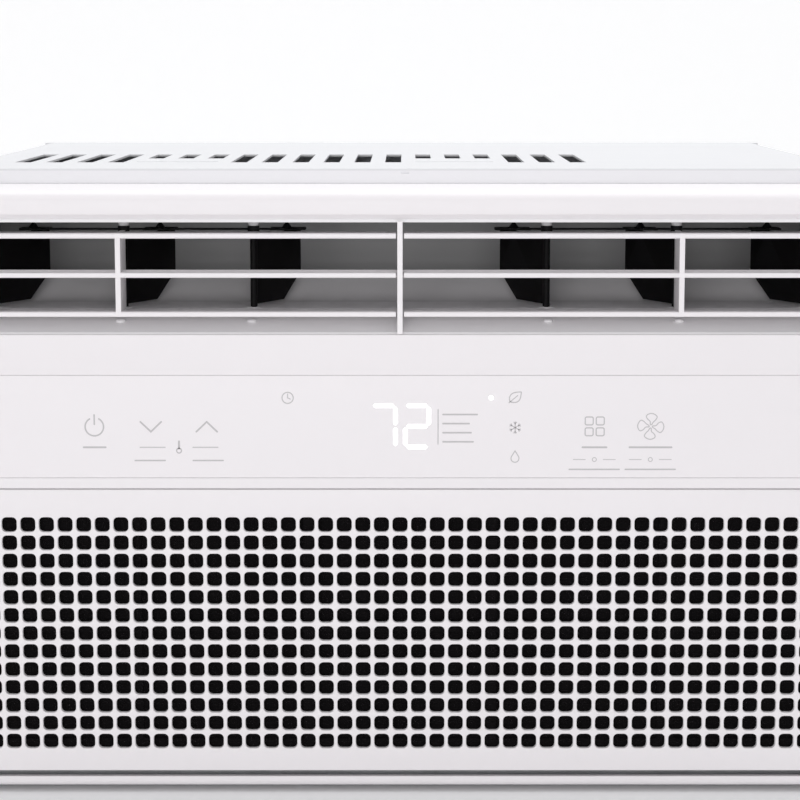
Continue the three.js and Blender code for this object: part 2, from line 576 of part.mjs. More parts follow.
function grommet(index) {
  const { x, y, foot } = COMPRESSOR;
  const [dx, dy] = [[-34, -34], [34, -34], [0, 36]][index];
  const waist = 6;
  return turned("z", x + dx, y + dy, [
    [0, PAN.floor + GAP], [8.5, PAN.floor + GAP], [8.5, PAN.floor + 4], [waist, PAN.floor + 5],
    [waist, foot - 4], [8, foot - 3], [8, foot - GAP], [0, foot - GAP]], 14);
}

function accumulator() {
  const { x, y, radius, low, top } = ACCUMULATOR;
  const body = turned("z", x, y, [
    [0, low - 8], [5, low - 8], [5, low], [radius, low + 8], [radius, top - 8], [5, top],
    [5, top + 6], [0, top + 6]], 18);
  const bridge = rod("x", y + 2, low + 20, 3.5, x + 12, COMPRESSOR.x - COMPRESSOR.radius + 3, 8);
  return cut(join(body, bridge), rod(
    "z", COMPRESSOR.x, COMPRESSOR.y, COMPRESSOR.radius + GAP, low, low + 40, 28));
}

function dischargeLine() {
  const { x, y, top } = COMPRESSOR;
  const start = top + GAP;
  return pipe([
    [x, y, start], [x, y, start + 20], [x, y + 22, start + 52], [x - 4, y + 75, start + 60],
    [x - 12, CONDENSER.back - 16, start + 55], [x - 24, CONDENSER.back - 17, start + 50],
    [CONDENSER.x1 + 8, CONDENSER.back - 17, start + 50]], 4, 24, 3);
}

function suctionLine() {
  const { x, y, top } = ACCUMULATOR;
  const portZ = PIPE_PORT.z0 + 13;
  return pipe([
    [x, y, top + 6.5], [x, y, top + 16], [x + 14, y - 14, portZ - 2], [x + 43, y - 36, portZ],
    [x + 46, BULKHEAD_Y, portZ], [x + 46, SCROLL_FRONT, portZ], [x + 44, EVAPORATOR.back - 12, portZ - 4],
    [EVAPORATOR.x1 + 8, EVAPORATOR.back - 18, portZ - 6]], 4.2, 26, 3);
}

function capillaryTube() {
  const portZ = PIPE_PORT.z0 + 26;
  return pipe([
    [CONDENSER.x1 + 2, BACK - 50, 114], [CONDENSER.x1 + 14, BACK - 50, 122],
    [CONDENSER.x1 + 18, BACK - 54, 190], [164, BACK - 100, portZ], [178, 0, portZ],
    [180, BULKHEAD_Y, portZ], [176, SCROLL_FRONT + 30, portZ - 6], [164, SCROLL_FRONT - 10, 150],
    [EVAPORATOR.x1 + 2, EVAPORATOR.front + 15, 126]], 1.4, 34, 2);
}

// ---- Electrics ----------------------------------------------------------------------------------
const CONTROL_BOX = { x0: 174, x1: 225, front: FRONT + 17, back: FRONT + 74, z0: 17, z1: 226 };

function controlBox() {
  const { x0, x1, front, back, z0, z1 } = CONTROL_BOX;
  return cut(
    box(x0, x1, front, back, z0, z1),
    box(x0 + SHEET, x1 - SHEET, front + SHEET, back + 2, z0 + SHEET, z1 - SHEET));
}

function capacitor() {
  const { x0, x1, front, z0 } = CONTROL_BOX;
  const [x, y, low] = [(x0 + x1) / 2, front + 26, z0 + 3];
  const can = turned("z", x, y, [
    [0, low], [19, low], [20, low + 2], [20, low + 72], [18.5, low + 74], [0, low + 74]], 22);
  const tags = [-8, 8].map((dx) => box(x + dx - 3, x + dx + 3, y - 0.6, y + 0.6, low + 70, low + 84));
  return join(can, ...tags);
}

function powerBoard() {
  const { x0, front } = CONTROL_BOX;
  const plate = box(x0 + 6, x0 + 7.6, front + 6, front + 50, 122, 216);
  const parts = [[14, 20], [30, 16], [40, 26]].map(([dy, height], i) =>
    box(x0 + 7, x0 + 7 + height, front + dy - 5, front + dy + 5, 130 + i * 26, 148 + i * 26));
  return join(plate, ...parts);
}

function temperatureSensor() {
  return turned("z", 128, FRONT + 13.5, [
    [0, 110], [2, 110.6], [2.6, 112], [2.6, 132], [1.2, 134], [1.2, 140], [0, 140]], 10);
}

// ---- Assembly -----------------------------------------------------------------------------------
piece("base_pan", basePan(), galvanised);
piece("drain_plug", drainPlug(), rubber);
piece("cabinet", cabinet(), whitePaint);
piece("rear_guard", rearGuard(), whitePaint);
[[-1, CORNER.low], [1, CORNER.low], [-1, CORNER.high], [1, CORNER.high]].forEach(([side, z], i) =>
  piece(`rear_screw_${i + 1}`, rearScrew(side, z), steel));

piece("front_bezel", bezel(), whitePlastic);
piece("cord_gland", cordGland(), blackPlastic);
piece("outlet_post", outletPost(), whitePlastic);
piece("outlet_duct", outletDuct(), greyPlastic);
piece("louver_left", louver(-1), whitePlastic);
piece("louver_right", louver(1), whitePlastic);

[-1, 1].forEach((side) => {
  const label = side < 0 ? "left" : "right";
  VANE_X.forEach((x, i) => {
    const blade = piece(`vane_${label}_${i + 1}`, vane(), blackPlastic);
    blade.position.set(side * x, VANE_AXIS_Y, 0);
    blade.rotation.z = side * radians(REST_TURN);
  });
  piece(`vane_link_${label}`, linkBar(side), blackPlastic);
});

piece("control_overlay", controlOverlay(), whitePlastic);
piece("display_module", displayModule(), whitePlastic);
piece("control_board", controlBoard(), circuitBoard);
piece("intake_grille", intakeGrille(), whitePlastic);
piece("air_filter", airFilter(), filterMesh);

piece("evaporator_coil", coil(EVAPORATOR, 4), aluminium);
piece("drain_tray", drainTray(), foam);
piece("blower_scroll", blowerScroll(), foam);
piece("blower_wheel", blowerWheel(), blackPlastic);
piece("bulkhead", bulkhead(), galvanised);
piece("fan_motor", fanMotor(), galvanised);
piece("motor_shaft", motorShaft(), steel);
piece("motor_bracket", motorBracket(), galvanised);
piece("motor_strap", motorStrap(), galvanised);
piece("condenser_fan", condenserFan(), blackPlastic);
piece("fan_shroud", fanShroud(), blackPlastic);
piece("condenser_coil", coil(CONDENSER, 5), aluminium);

piece("compressor", compressor(), blackPaint);
series(3, 0, 1).forEach((i) => piece(`compressor_grommet_${i + 1}`, grommet(i), rubber));
piece("accumulator", accumulator(), blackPaint);
piece("discharge_line", dischargeLine(), copper);
piece("suction_line", suctionLine(), copper);
piece("capillary_tube", capillaryTube(), copper);

piece("control_box", controlBox(), galvanised);
piece("capacitor", capacitor(), aluminium);
piece("power_board", powerBoard(), circuitBoard);
piece("temperature_sensor", temperatureSensor(), copper);

export default root;
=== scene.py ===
"""Looks of a window air conditioner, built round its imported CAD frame. Metres, +Z up, room side -Y."""
import json
import math

import bmesh
import bpy
from mathutils import Matrix, Vector


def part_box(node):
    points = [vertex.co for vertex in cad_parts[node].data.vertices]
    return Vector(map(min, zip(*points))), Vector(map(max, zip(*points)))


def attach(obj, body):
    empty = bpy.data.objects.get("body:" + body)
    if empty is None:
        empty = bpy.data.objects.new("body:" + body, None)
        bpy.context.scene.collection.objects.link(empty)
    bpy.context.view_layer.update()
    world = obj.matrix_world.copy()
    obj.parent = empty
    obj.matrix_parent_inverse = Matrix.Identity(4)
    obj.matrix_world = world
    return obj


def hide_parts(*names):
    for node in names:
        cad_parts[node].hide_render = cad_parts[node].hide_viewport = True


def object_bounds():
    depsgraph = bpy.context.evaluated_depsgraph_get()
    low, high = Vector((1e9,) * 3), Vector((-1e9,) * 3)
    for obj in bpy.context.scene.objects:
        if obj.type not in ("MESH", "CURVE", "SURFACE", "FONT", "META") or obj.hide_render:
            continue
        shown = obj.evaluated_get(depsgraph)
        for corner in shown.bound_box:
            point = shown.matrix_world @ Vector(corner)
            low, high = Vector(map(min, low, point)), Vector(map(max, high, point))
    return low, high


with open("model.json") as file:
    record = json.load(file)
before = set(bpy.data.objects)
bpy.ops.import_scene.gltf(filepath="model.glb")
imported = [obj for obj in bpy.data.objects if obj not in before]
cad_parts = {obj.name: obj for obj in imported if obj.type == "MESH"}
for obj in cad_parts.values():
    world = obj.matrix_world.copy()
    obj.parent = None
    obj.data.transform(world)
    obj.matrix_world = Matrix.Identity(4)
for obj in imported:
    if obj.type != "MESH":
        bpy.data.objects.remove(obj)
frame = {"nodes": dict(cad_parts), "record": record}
cad_low, cad_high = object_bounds()
MM = 0.001
BODY_OF = {node: body for body, nodes in frame["record"]["behaviour"]["bodies"].items() for node in nodes}
SLOT_OF = {part["node"]: part["material_slot"] for part in frame["record"]["subparts"]}
FRONT = cad_low.y


def placed(name, data):
    """A new object in the scene."""
    made = bpy.data.objects.new(name, data)
    bpy.context.scene.collection.objects.link(made)
    return made


# ---- Camera, light and floor ----
CAMERA_DISTANCE = 1.0774
CAMERA_ABOVE_TOP = 0.0566
CAMERA_PITCH = 7.355
CAMERA_X = 0.003
SHIFT = (-0.0075, -0.0745)
LENS = 98.42
SENSOR = 36


def make_camera():
    data = bpy.data.cameras.new("camera")
    data.lens = LENS
    data.sensor_width = SENSOR
    data.shift_x, data.shift_y = SHIFT
    camera = placed("camera", data)
    camera.location = (CAMERA_X, FRONT - CAMERA_DISTANCE, cad_high.z + CAMERA_ABOVE_TOP)
    camera.rotation_euler = (math.radians(90 - CAMERA_PITCH), 0, 0)
    bpy.context.scene.camera = camera


# Each light's name, place, target, size, watts and colour.
LIGHTS = (
    ("front", (-0.25, -2.6, 0.5), (0, FRONT, 0.265), (1.5, 0.5), 17.5, (1, 0.985, 0.99)),
    ("top", (0.1, 0.1, 1.9), (0, 0, 0.16), (1.8, 1.4), 21, (0.98, 0.985, 1)),
)
WORLD_COLOUR = (0.98, 0.985, 1, 1)
WORLD_STRENGTH = 0.52


def area_light(name, location, target, size, power, colour):
    data = bpy.data.lights.new(name, "AREA")
    data.shape = "RECTANGLE"
    data.size, data.size_y = size
    data.energy = power
    data.color = colour
    light = placed(name, data)
    light.location = location
    light.rotation_euler = (Vector(target) - Vector(location)).to_track_quat("-Z", "Y").to_euler()


def make_light():
    world = bpy.data.worlds.new("studio")
    world.use_nodes = True
    background = world.node_tree.nodes["Background"]
    background.inputs["Color"].default_value = WORLD_COLOUR
    background.inputs["Strength"].default_value = WORLD_STRENGTH
    scene = bpy.context.scene
    scene.world = world
    scene.view_settings.view_transform = "Standard"
    for light in LIGHTS:
        area_light(*light)


FLOOR_HALF = 40
WALL_HALF, WALL_TOP, WALL_Y = 14, 7, 4.5
WALL_GLOW = 0.42


def paper(name, corners, look):
    """One flat surface of the studio."""
    mesh = bpy.data.meshes.new(name)
    mesh.from_pydata(corners, [], [(0, 1, 2, 3)])
    surface = placed(name, mesh)
    surface.data.materials.append(look.material)


def make_studio():
    """White paper under the object and, well behind it, a brighter wall."""
    half = FLOOR_HALF
    floor_look = Look("floor_paper", (0.9, 0.9, 0.905), 0.8).tone(0.985, scale=3)
    paper("floor", [(-half, -half, 0), (half, -half, 0), (half, half, 0), (-half, half, 0)], floor_look)
    wall_look = Look("backdrop_paper", (0.9, 0.9, 0.9), 0.9).tone(0.985, scale=2)
    wall_look.set("Emission Color", (1, 1, 1, 1))
    wall_look.set("Emission Strength", WALL_GLOW)
    left, right = -WALL_HALF, WALL_HALF
    corners = [(left, WALL_Y, 0), (right, WALL_Y, 0), (right, WALL_Y, WALL_TOP), (left, WALL_Y, WALL_TOP)]
    paper("backdrop", corners, wall_look)


# ---- Materials ----
class Look:
    """A node material: constants on the Principled shader, with detail linked in step by step."""

    def __init__(self, name, colour, roughness, metallic=0.0, **sockets):
        self.material = bpy.data.materials.new(name)
        self.material.use_nodes = True
        self.tree = self.material.node_tree
        self.shader = self.tree.nodes["Principled BSDF"]
        self.colour = (*colour, 1)
        self.relief = None
        self.set("Base Color", self.colour)
        self.set("Roughness", roughness)
        self.set("Metallic", metallic)
        for socket, value in sockets.items():
            self.set(socket.replace("_", " "), value)
        self.place = self.tree.nodes.new("ShaderNodeTexCoord").outputs["Object"]

    def set(self, socket, value):
        self.shader.inputs[socket].default_value = value

    def node(self, kind, inputs=(), **settings):
        made = self.tree.nodes.new(kind)
        for key, value in settings.items():
            setattr(made, key, value)
        for key, value in dict(inputs).items():
            if isinstance(value, bpy.types.NodeSocket):
                self.tree.links.new(value, made.inputs[key])
            else:
                made.inputs[key].default_value = value
        return made

    def stretched(self, scale):
        return self.node("ShaderNodeMapping", {"Vector": self.place, "Scale": scale}).outputs["Vector"]

    def noise(self, scale, detail=3.0, rough=0.5, vector=None):
        inputs = {"Vector": vector or self.place, "Scale": scale, "Detail": detail, "Roughness": rough}
        return self.node("ShaderNodeTexNoise", inputs).outputs["Fac"]

    def ranged(self, value, low, high, source=(0.1, 0.9)):
        inputs = {
            "Value": value, "From Min": source[0], "From Max": source[1], "To Min": low, "To Max": high}
        return self.node("ShaderNodeMapRange", inputs).outputs["Result"]

    def mixed(self, factor, first, second):
        """The base colour goes from first to second as the factor rises."""
        mix = self.node("ShaderNodeMix", {"Factor": factor, "A": first, "B": second}, data_type="RGBA")
        self.colour_socket = mix.outputs["Result"]
        self.tree.links.new(self.colour_socket, self.shader.inputs["Base Color"])
        return self

    def tone(self, darkest, scale=8.0, detail=4.0, vector=None, tint=None):
        """The base colour wanders between itself and a darker or tinted tone."""
        other = tint or tuple(c * darkest for c in self.colour[:3])
        wander = self.ranged(self.noise(scale, detail, vector=vector), 0, 1)
        return self.mixed(wander, self.colour, (*other, 1))

    def edges(self, colour, amount=0.5, reach=(0.51, 0.6)):
        """Painted highlight on edges: the colour changes where the surface is sharply convex."""
        pointy = self.node("ShaderNodeNewGeometry").outputs["Pointiness"]
        return self.mixed(self.ranged(pointy, 0, amount, reach), self.colour_socket, (*colour, 1))

    def gloss(self, low, high, scale=20.0, vector=None):
        varied = self.ranged(self.noise(scale, vector=vector), low, high)
        self.tree.links.new(varied, self.shader.inputs["Roughness"])
        return self

    def bump(self, height, depth_mm, strength=1.0):
        """Adds one layer of relief, whose full height is depth_mm."""
        inputs = {"Height": height, "Distance": depth_mm * MM, "Strength": strength}
        if self.relief:
            inputs["Normal"] = self.relief
        self.relief = self.node("ShaderNodeBump", inputs).outputs["Normal"]
        self.tree.links.new(self.relief, self.shader.inputs["Normal"])
        return self

    def grain(self, scale, depth_mm, detail=2.0, strength=1.0, vector=None):
        return self.bump(self.noise(scale, detail, vector=vector), depth_mm, strength)


def moulded(name, colour, roughness, grain=2600.0, depth=0.02, darkest=0.975, **sockets):
    look = Look(name, colour, roughness, **sockets)
    look.tone(darkest, scale=9)
    look.gloss(roughness - 0.05, roughness + 0.06, scale=60)
    look.grain(grain, depth)
    return look.grain(14, 0.05, detail=1.0, strength=0.4)


def white_plastic():
    look = moulded("white_plastic", (0.845, 0.815, 0.83), 0.42, darkest=0.985, Specular_IOR_Level=0.45)
    # Painted highlight: lighter colour along sharp convex edges.
    return look.edges((0.89, 0.87, 0.88), 0.6)


def white_paint():
    look = Look("white_paint", (0.735, 0.737, 0.75), 0.5, Specular_IOR_Level=0.2)
    look.tone(0.975, scale=5).gloss(0.44, 0.56, scale=45)
    return look.grain(900, 0.018).grain(3200, 0.006)


def flange_paint_painted_light():
    """The paint of the cabinet's front face, painted a shade lighter than its outside: painted light, a lit
    copy of the wrap's paint for the more brightly lit front face.
    """
    look = Look("flange_paint_painted_light", (0.83, 0.83, 0.85), 0.45, Specular_IOR_Level=0.35)
    return look.tone(0.985, scale=8).grain(900, 0.015)


def overlay_plastic():
    look = Look("overlay_plastic", (0.85, 0.82, 0.835), 0.3, Coat_Weight=0.35, Coat_Roughness=0.12)
    return look.tone(0.99, scale=3, detail=1).gloss(0.27, 0.33, scale=8).grain(4200, 0.005)


def black_plastic():
    look = moulded("black_plastic", (0.0035, 0.003, 0.0035), 0.55, grain=2200, depth=0.03,
                   darkest=0.6, Specular_IOR_Level=0.12)
    # Painted highlight: lighter colour along sharp convex edges.
    return look.edges((0.012, 0.012, 0.013), 0.5)


def grey_plastic():
    return moulded("grey_plastic", (0.87, 0.86, 0.87), 0.5, grain=2000, depth=0.025, darkest=0.96)


def filter_mesh():
    look = Look("filter_mesh", (0.006, 0.0045, 0.0055), 0.85, Specular_IOR_Level=0.2)
    look.tone(0.5, scale=25)
    warp = look.node("ShaderNodeTexWave", {"Vector": look.place, "Scale": 330.0}, bands_direction="X")
    weft = look.node("ShaderNodeTexWave", {"Vector": look.place, "Scale": 330.0}, bands_direction="Z")
    return look.bump(warp.outputs["Fac"], 0.25).bump(weft.outputs["Fac"], 0.25)


def galvanised():
    look = Look("galvanised", (0.52, 0.535, 0.55), 0.42, 0.85)
    spangle = look.node("ShaderNodeTexVoronoi", {"Vector": look.place, "Scale": 130.0}).outputs["Color"]
    look.mixed(look.ranged(spangle, 0, 0.5, (0.2, 0.8)), look.colour, (0.4, 0.415, 0.43, 1))
    look.gloss(0.33, 0.52, scale=110).grain(60, 0.03, strength=0.4)
    # Painted highlight: lighter colour along sharp convex edges.
    return look.edges((0.75, 0.76, 0.77), 0.5)


def fin_aluminium():
    look = Look("fin_aluminium", (0.84, 0.85, 0.86), 0.45, 0.45)
    long_grain = look.stretched((1, 1, 0.06))
    look.tone(0.82, scale=160, vector=long_grain).gloss(0.28, 0.46, scale=90, vector=long_grain)
    return look.grain(700, 0.02, vector=long_grain)


def copper():
    look = Look("copper", (0.72, 0.33, 0.18), 0.3, 1.0)
    look.tone(0.6, scale=35, tint=(0.42, 0.2, 0.12)).gloss(0.22, 0.46, scale=80)
    return look.grain(1200, 0.01)


def black_paint():
    look = Look("black_paint", (0.016, 0.016, 0.018), 0.36, Coat_Weight=0.3, Coat_Roughness=0.2)
    return look.tone(0.7, scale=14).gloss(0.28, 0.44, scale=50).grain(420, 0.03)


def rubber():
    look = Look("rubber", (0.018, 0.018, 0.019), 0.85)
    return look.tone(0.6, scale=60).gloss(0.75, 0.92, scale=90).grain(1500, 0.04)


def foam():
    look = Look("foam", (0.5, 0.5, 0.505), 0.85)
    look.tone(0.96, scale=30)
    beads = look.node("ShaderNodeTexVoronoi", {"Vector": look.place, "Scale": 330.0}).outputs["Distance"]
    return look.bump(beads, 0.12, 0.4)


def circuit_board():
    look = Look("circuit_board", (0.03, 0.17, 0.08), 0.35, Coat_Weight=0.4)
    look.tone(0.7, scale=400, tint=(0.05, 0.24, 0.12))
    tracks = look.node("ShaderNodeTexBrick", {"Vector": look.place, "Scale": 160.0}).outputs["Fac"]
    return look.bump(tracks, 0.05)


def steel():
    look = Look("steel", (0.6, 0.61, 0.62), 0.3, 1.0)
    turned = look.stretched((1, 0.1, 1))
    look.tone(0.8, scale=240, vector=turned).gloss(0.22, 0.4, scale=300)
    return look.grain(900, 0.01, vector=turned)


def printed(name, colour):
    look = Look(name, colour, 0.5)
    return look.tone(0.93, scale=600).gloss(0.45, 0.58, scale=300)


def lit_digits():
    look = Look("lit_digits", (1, 1, 1), 0.4)
    look.set("Emission Color", (1, 1, 1, 1))
    look.set("Emission Strength", 0.9)
    return look.tone(0.97, scale=500)


SLOT_LOOKS = (white_plastic, white_paint, overlay_plastic, black_plastic, grey_plastic, filter_mesh,
              galvanised, fin_aluminium, copper, black_paint, rubber, foam, circuit_board, steel)
MATERIALS = {look.__name__: look().material for look in SLOT_LOOKS}


# ---- Mesh tools ----
WELD = 1e-6
SLIVER = 2e-6
FLAT_ANGLE = math.radians(0.5)
SQUARE_ON = 0.99999
SHEET_AREA = 20 * MM * MM
TUBE_ROUNDNESS = 4


def new_object(name, mesh, slot, material=None):
    made = placed(name, mesh)
    mesh.materials.clear()
    mesh.materials.append(material or MATERIALS[slot])
    return made


def mesh_from(name, bm):
    bmesh.ops.recalc_face_normals(bm, faces=bm.faces)
    mesh = bpy.data.meshes.new(name)
    bm.to_mesh(mesh)
    bm.free()
    return mesh


def smooth_by_angle(obj, degrees):
    """Smooth shading everywhere but across edges sharper than this."""
    for polygon in obj.data.polygons:
        polygon.use_smooth = True
    bm = bmesh.new()
    bm.from_mesh(obj.data)
    for edge in bm.edges:
        sharp = len(edge.link_faces) != 2 or edge.calc_face_angle(0) > math.radians(degrees)
        edge.smooth = not sharp
    bm.to_mesh(obj.data)
    bm.free()


def apply_modifiers(obj):
    depsgraph = bpy.context.evaluated_depsgraph_get()
    baked = bpy.data.meshes.new_from_object(obj.evaluated_get(depsgraph))
    obj.modifiers.clear()
    obj.data = baked


def bevel(obj, width, segments=2, angle=35):
    """Rounds every sharp edge and keeps the flats flat to the eye."""
    modifier = obj.modifiers.new("bevel", "BEVEL")
    modifier.width = width
    modifier.segments = segments
    modifier.limit_method = "ANGLE"
    modifier.angle_limit = math.radians(angle)
    modifier.use_clamp_overlap = True
    modifier.miter_outer = "MITER_ARC"
    modifier.loop_slide = False
    apply_modifiers(obj)
    drop_slivers(obj)
    smooth_by_angle(obj, 50)
    weigh_normals(obj)
    flatten_sheets(obj)


def flatten_sheets(obj):
    """Large faces square to an axis keep their own normal at every corner."""
    mesh = obj.data
    normals = [Vector(corner.vector) for corner in mesh.corner_normals]
    for polygon in mesh.polygons:
        if polygon.area > SHEET_AREA and max(abs(part) for part in polygon.normal) > SQUARE_ON:
            for corner in polygon.loop_indices:
                normals[corner] = polygon.normal.copy()
    mesh.normals_split_custom_set(normals)


def drop_slivers(obj):
    """Takes out the faces that are too thin to shade."""
    bm = bmesh.new()
    bm.from_mesh(obj.data)
    bmesh.ops.dissolve_degenerate(bm, dist=SLIVER, edges=bm.edges)
    bm.to_mesh(obj.data)
    bm.free()


def weigh_normals(obj):
    """Large flat faces keep their own normals, and only the rounded edges turn."""
    modifier = obj.modifiers.new("normals", "WEIGHTED_NORMAL")
    modifier.weight = 100
    modifier.keep_sharp = True
    apply_modifiers(obj)


def carve(obj, cutters, operation="DIFFERENCE"):
    """Cuts the closed meshes in cutters out of obj, or joins them on."""
    joined = placed("cutters", merged("cutters", cutters))
    modifier = obj.modifiers.new("carve", "BOOLEAN")
    modifier.operation = operation
    modifier.solver = "EXACT"
    modifier.use_self = True
    modifier.object = joined
    apply_modifiers(obj)
    bpy.data.objects.remove(joined)


def merged(name, parts):
    """One mesh from several meshes."""
    bm = bmesh.new()
    for part in parts:
        bm.from_mesh(part)
    return mesh_from(name, bm)


def arc(u, v, radius, start, end, steps=24):
    """Points from start to end, in degrees, round (u, v)."""
    turn = [math.radians(start + (end - start) * i / steps) for i in range(steps + 1)]
    return [(u + radius * math.cos(a), v + radius * math.sin(a)) for a in turn]


def circle(u, v, radius, sides=24):
    return arc(u, v, radius, 0, 360, sides)[:-1]


def span(middle, half):
    return middle - half, middle + half


def bridge(bm, near, far):
    """A band of four-sided faces between two closed outlines."""
    for i in range(len(near)):
        j = (i + 1) % len(near)
        bm.faces.new((near[i], near[j], far[j], far[i]))


def block(x, y, z):
    """A box mesh from (low, high) pairs."""
    bm = bmesh.new()
    bmesh.ops.create_cube(bm, size=1)
    low, high = Vector((x[0], y[0], z[0])), Vector((x[1], y[1], z[1]))
    bmesh.ops.scale(bm, vec=high - low, verts=bm.verts)
    bmesh.ops.translate(bm, vec=(low + high) / 2, verts=bm.verts)
    return mesh_from("block", bm)


def turns_left(before, corner, after, normal):
    """Whether the outline turns left at this corner, or runs straight on."""
    return (corner.co - before.co).cross(after.co - corner.co).dot(normal) > -1e-12


def join_flat_faces(bm):
    """Joins coplanar neighbours wherever the face that they make together stays convex."""
    for edge in sorted(bm.edges, key=lambda e: -e.calc_length()):
        if not edge.is_valid or len(edge.link_faces) != 2 or edge.calc_face_angle(1) > FLAT_ANGLE:
            continue
        first, second = edge.link_loops
        normal = first.face.normal
        if all(turns_left(one.link_loop_prev.vert, one.vert, other.link_loop_next.link_loop_next.vert, normal)
               for one, other in ((first, second), (second, first))):
            bmesh.utils.face_join([first.face, second.face])
    straight = [v for v in bm.verts if len(v.link_edges) == 2 and v.calc_edge_angle(1) < FLAT_ANGLE]
    bmesh.ops.dissolve_verts(bm, verts=straight)


def welded(mesh):
    """A copy of the mesh to edit, with its coincident vertices made one."""
    bm = bmesh.new()
    bm.from_mesh(mesh)
    bmesh.ops.remove_doubles(bm, verts=bm.verts, dist=WELD)
    return bm


def tidy_copy(node):
    """A copy of a CAD node's mesh with its flat faces made large again."""
    bm = welded(frame["nodes"][node].data)
    bm.normal_update()
    join_flat_faces(bm)
    return mesh_from(node + "_shape", bm)


def settle(obj, node):
    """obj takes the node's place on its body."""
    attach(obj, BODY_OF[node])
    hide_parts(node)
    return obj


def refined(node, width, segments=2, angle=35, cutters=()):
    """The CAD node with rounded edges."""
    obj = new_object(node + "_piece", tidy_copy(node), SLOT_OF[node])
    if cutters:
        carve(obj, cutters)
    bevel(obj, width, segments, angle)
    return settle(obj, node)


def rider(name, mesh, slot, body, width, segments=2):
    """A piece with rounded edges that only the looks have, and that rides on this body."""
    piece = new_object(name, mesh, slot)
    bevel(piece, width, segments)
    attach(piece, body)
    return piece


def tube(name, points, radius):
    """A smooth round tube through the points."""
    curve = bpy.data.curves.new(name, "CURVE")
    curve.dimensions = "3D"
    curve.bevel_depth = radius
    curve.bevel_resolution = TUBE_ROUNDNESS
    curve.use_fill_caps = True
    spline = curve.splines.new("NURBS")
    spline.points.add(len(points) - 1)
    for point, place in zip(spline.points, points):
        point.co = (*place, 1)
    spline.use_endpoint_u = True
    spline.order_u = 4
    holder = placed(name, curve)
    evaluated = holder.evaluated_get(bpy.context.evaluated_depsgraph_get())
    bm = welded(bpy.data.meshes.new_from_object(evaluated))
    bpy.data.objects.remove(holder)
    return mesh_from(name, bm)


# ---- Casing ----
# The slots, edges and flanges of the cabinet's sheet, in metres.
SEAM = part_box("cabinet")[0].y
CASE_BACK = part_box("cabinet")[1].y
CABINET_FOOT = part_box("cabinet")[0].z
CABINET_TOP = cad_high.z
SHEET = 1.2 * MM
CORNER_RADIUS = 6 * MM
EDGE_ROUND = 0.85 * MM
FLANGE_DROP = 16 * MM
FLANGE_SETBACK = 0.05 * MM
REAR_FLANGE = 20 * MM
TOP_SLOTS = [(-206.9 + 16.9 * i) * MM for i in range(19)]
TOP_SLOT_HALF = 4.4 * MM
SHORT_SLOTS = (4, 5, 6, 13, 14, 15)
SLOT_FRONT, SLOT_MIDDLE, SLOT_BACK = -79 * MM, -32 * MM, 19 * MM
SIDE_SLOTS = [(66 + 13 * i) * MM for i in range(9)]
SIDE_SLOT_HALF = 2 * MM
SIDE_SLOT_LOW, SIDE_SLOT_HIGH = 90 * MM, 250 * MM
SHORT_SLOT_BARS = ((-145 * MM, -100 * MM), (8 * MM, 51 * MM))
BAR_Y = -74 * MM
BAR_HALF = 0.8 * MM
BAR_SUNK, BAR_RISE = 0.4 * MM, 0.35 * MM
REAR_FLANGE_DROP = 22 * MM
NOTCH_X = (0.6 * MM, 4.6 * MM)
NOTCH_DEPTH = 0.7 * MM
NOTCH_TOP = CABINET_TOP - 1.9 * MM
NOTCH_HEIGHT = 0.8 * MM
SCREW_HOLE = 2.5 * MM


def pierced_shell(name, outer, inner, pierced):
    """A closed sheet between two grids of points, with no cell where pierced(i, j) is true."""
    columns, rows = len(outer), len(outer[0])
    bm = bmesh.new()
    skins = [[[bm.verts.new(point) for point in line] for line in grid] for grid in (outer, inner)]

    def solid(i, j):
        return 0 <= i < columns - 1 and 0 <= j < rows - 1 and not pierced(i, j)

    for i in range(columns - 1):
        for j in range(rows - 1):
            if not solid(i, j):
                continue
            corners = [(i, j), (i + 1, j), (i + 1, j + 1), (i, j + 1)]
            for skin in skins:
                bm.faces.new([skin[a][b] for a, b in corners])
            for step, beyond in enumerate(((i, j - 1), (i + 1, j), (i, j + 1), (i - 1, j))):
                if not solid(*beyond):
                    (a, b), (c, d) = corners[step], corners[(step + 1) % 4]
                    bm.faces.new([skins[0][a][b], skins[0][c][d], skins[1][c][d], skins[1][a][b]])
    bmesh.ops.delete(bm, geom=[v for v in bm.verts if not v.link_faces], context="VERTS")
    return mesh_from(name, bm)


def wrap_stations():
    """Points of the sheet's section from the left foot over the top to the right foot, each as its
    (x, z), its outward direction and the slot it starts, if it starts one."""
    half = cad_high.x
    side = [CABINET_FOOT, SIDE_SLOT_LOW, SIDE_SLOT_HIGH, CABINET_TOP - CORNER_RADIUS]
    left = [((-half, z), (-1, 0), "side" if z == SIDE_SLOT_LOW else None) for z in side]
    for out in arc(0, 0, 1, 180, 90, 6)[1:]:
        x = -half + CORNER_RADIUS + CORNER_RADIUS * out[0]
        left.append(((x, CABINET_TOP - CORNER_RADIUS + CORNER_RADIUS * out[1]), out, None))
    top = []
    for index, x in enumerate(TOP_SLOTS):
        top.append(((x - TOP_SLOT_HALF, CABINET_TOP), (0, 1), index))
        top.append(((x + TOP_SLOT_HALF, CABINET_TOP), (0, 1), None))
    right = [((-place[0], place[1]), (-out[0], out[1]), None) for place, out, _ in reversed(left)]
    right[-3] = (*right[-3][:2], "side")
    return left + top + right


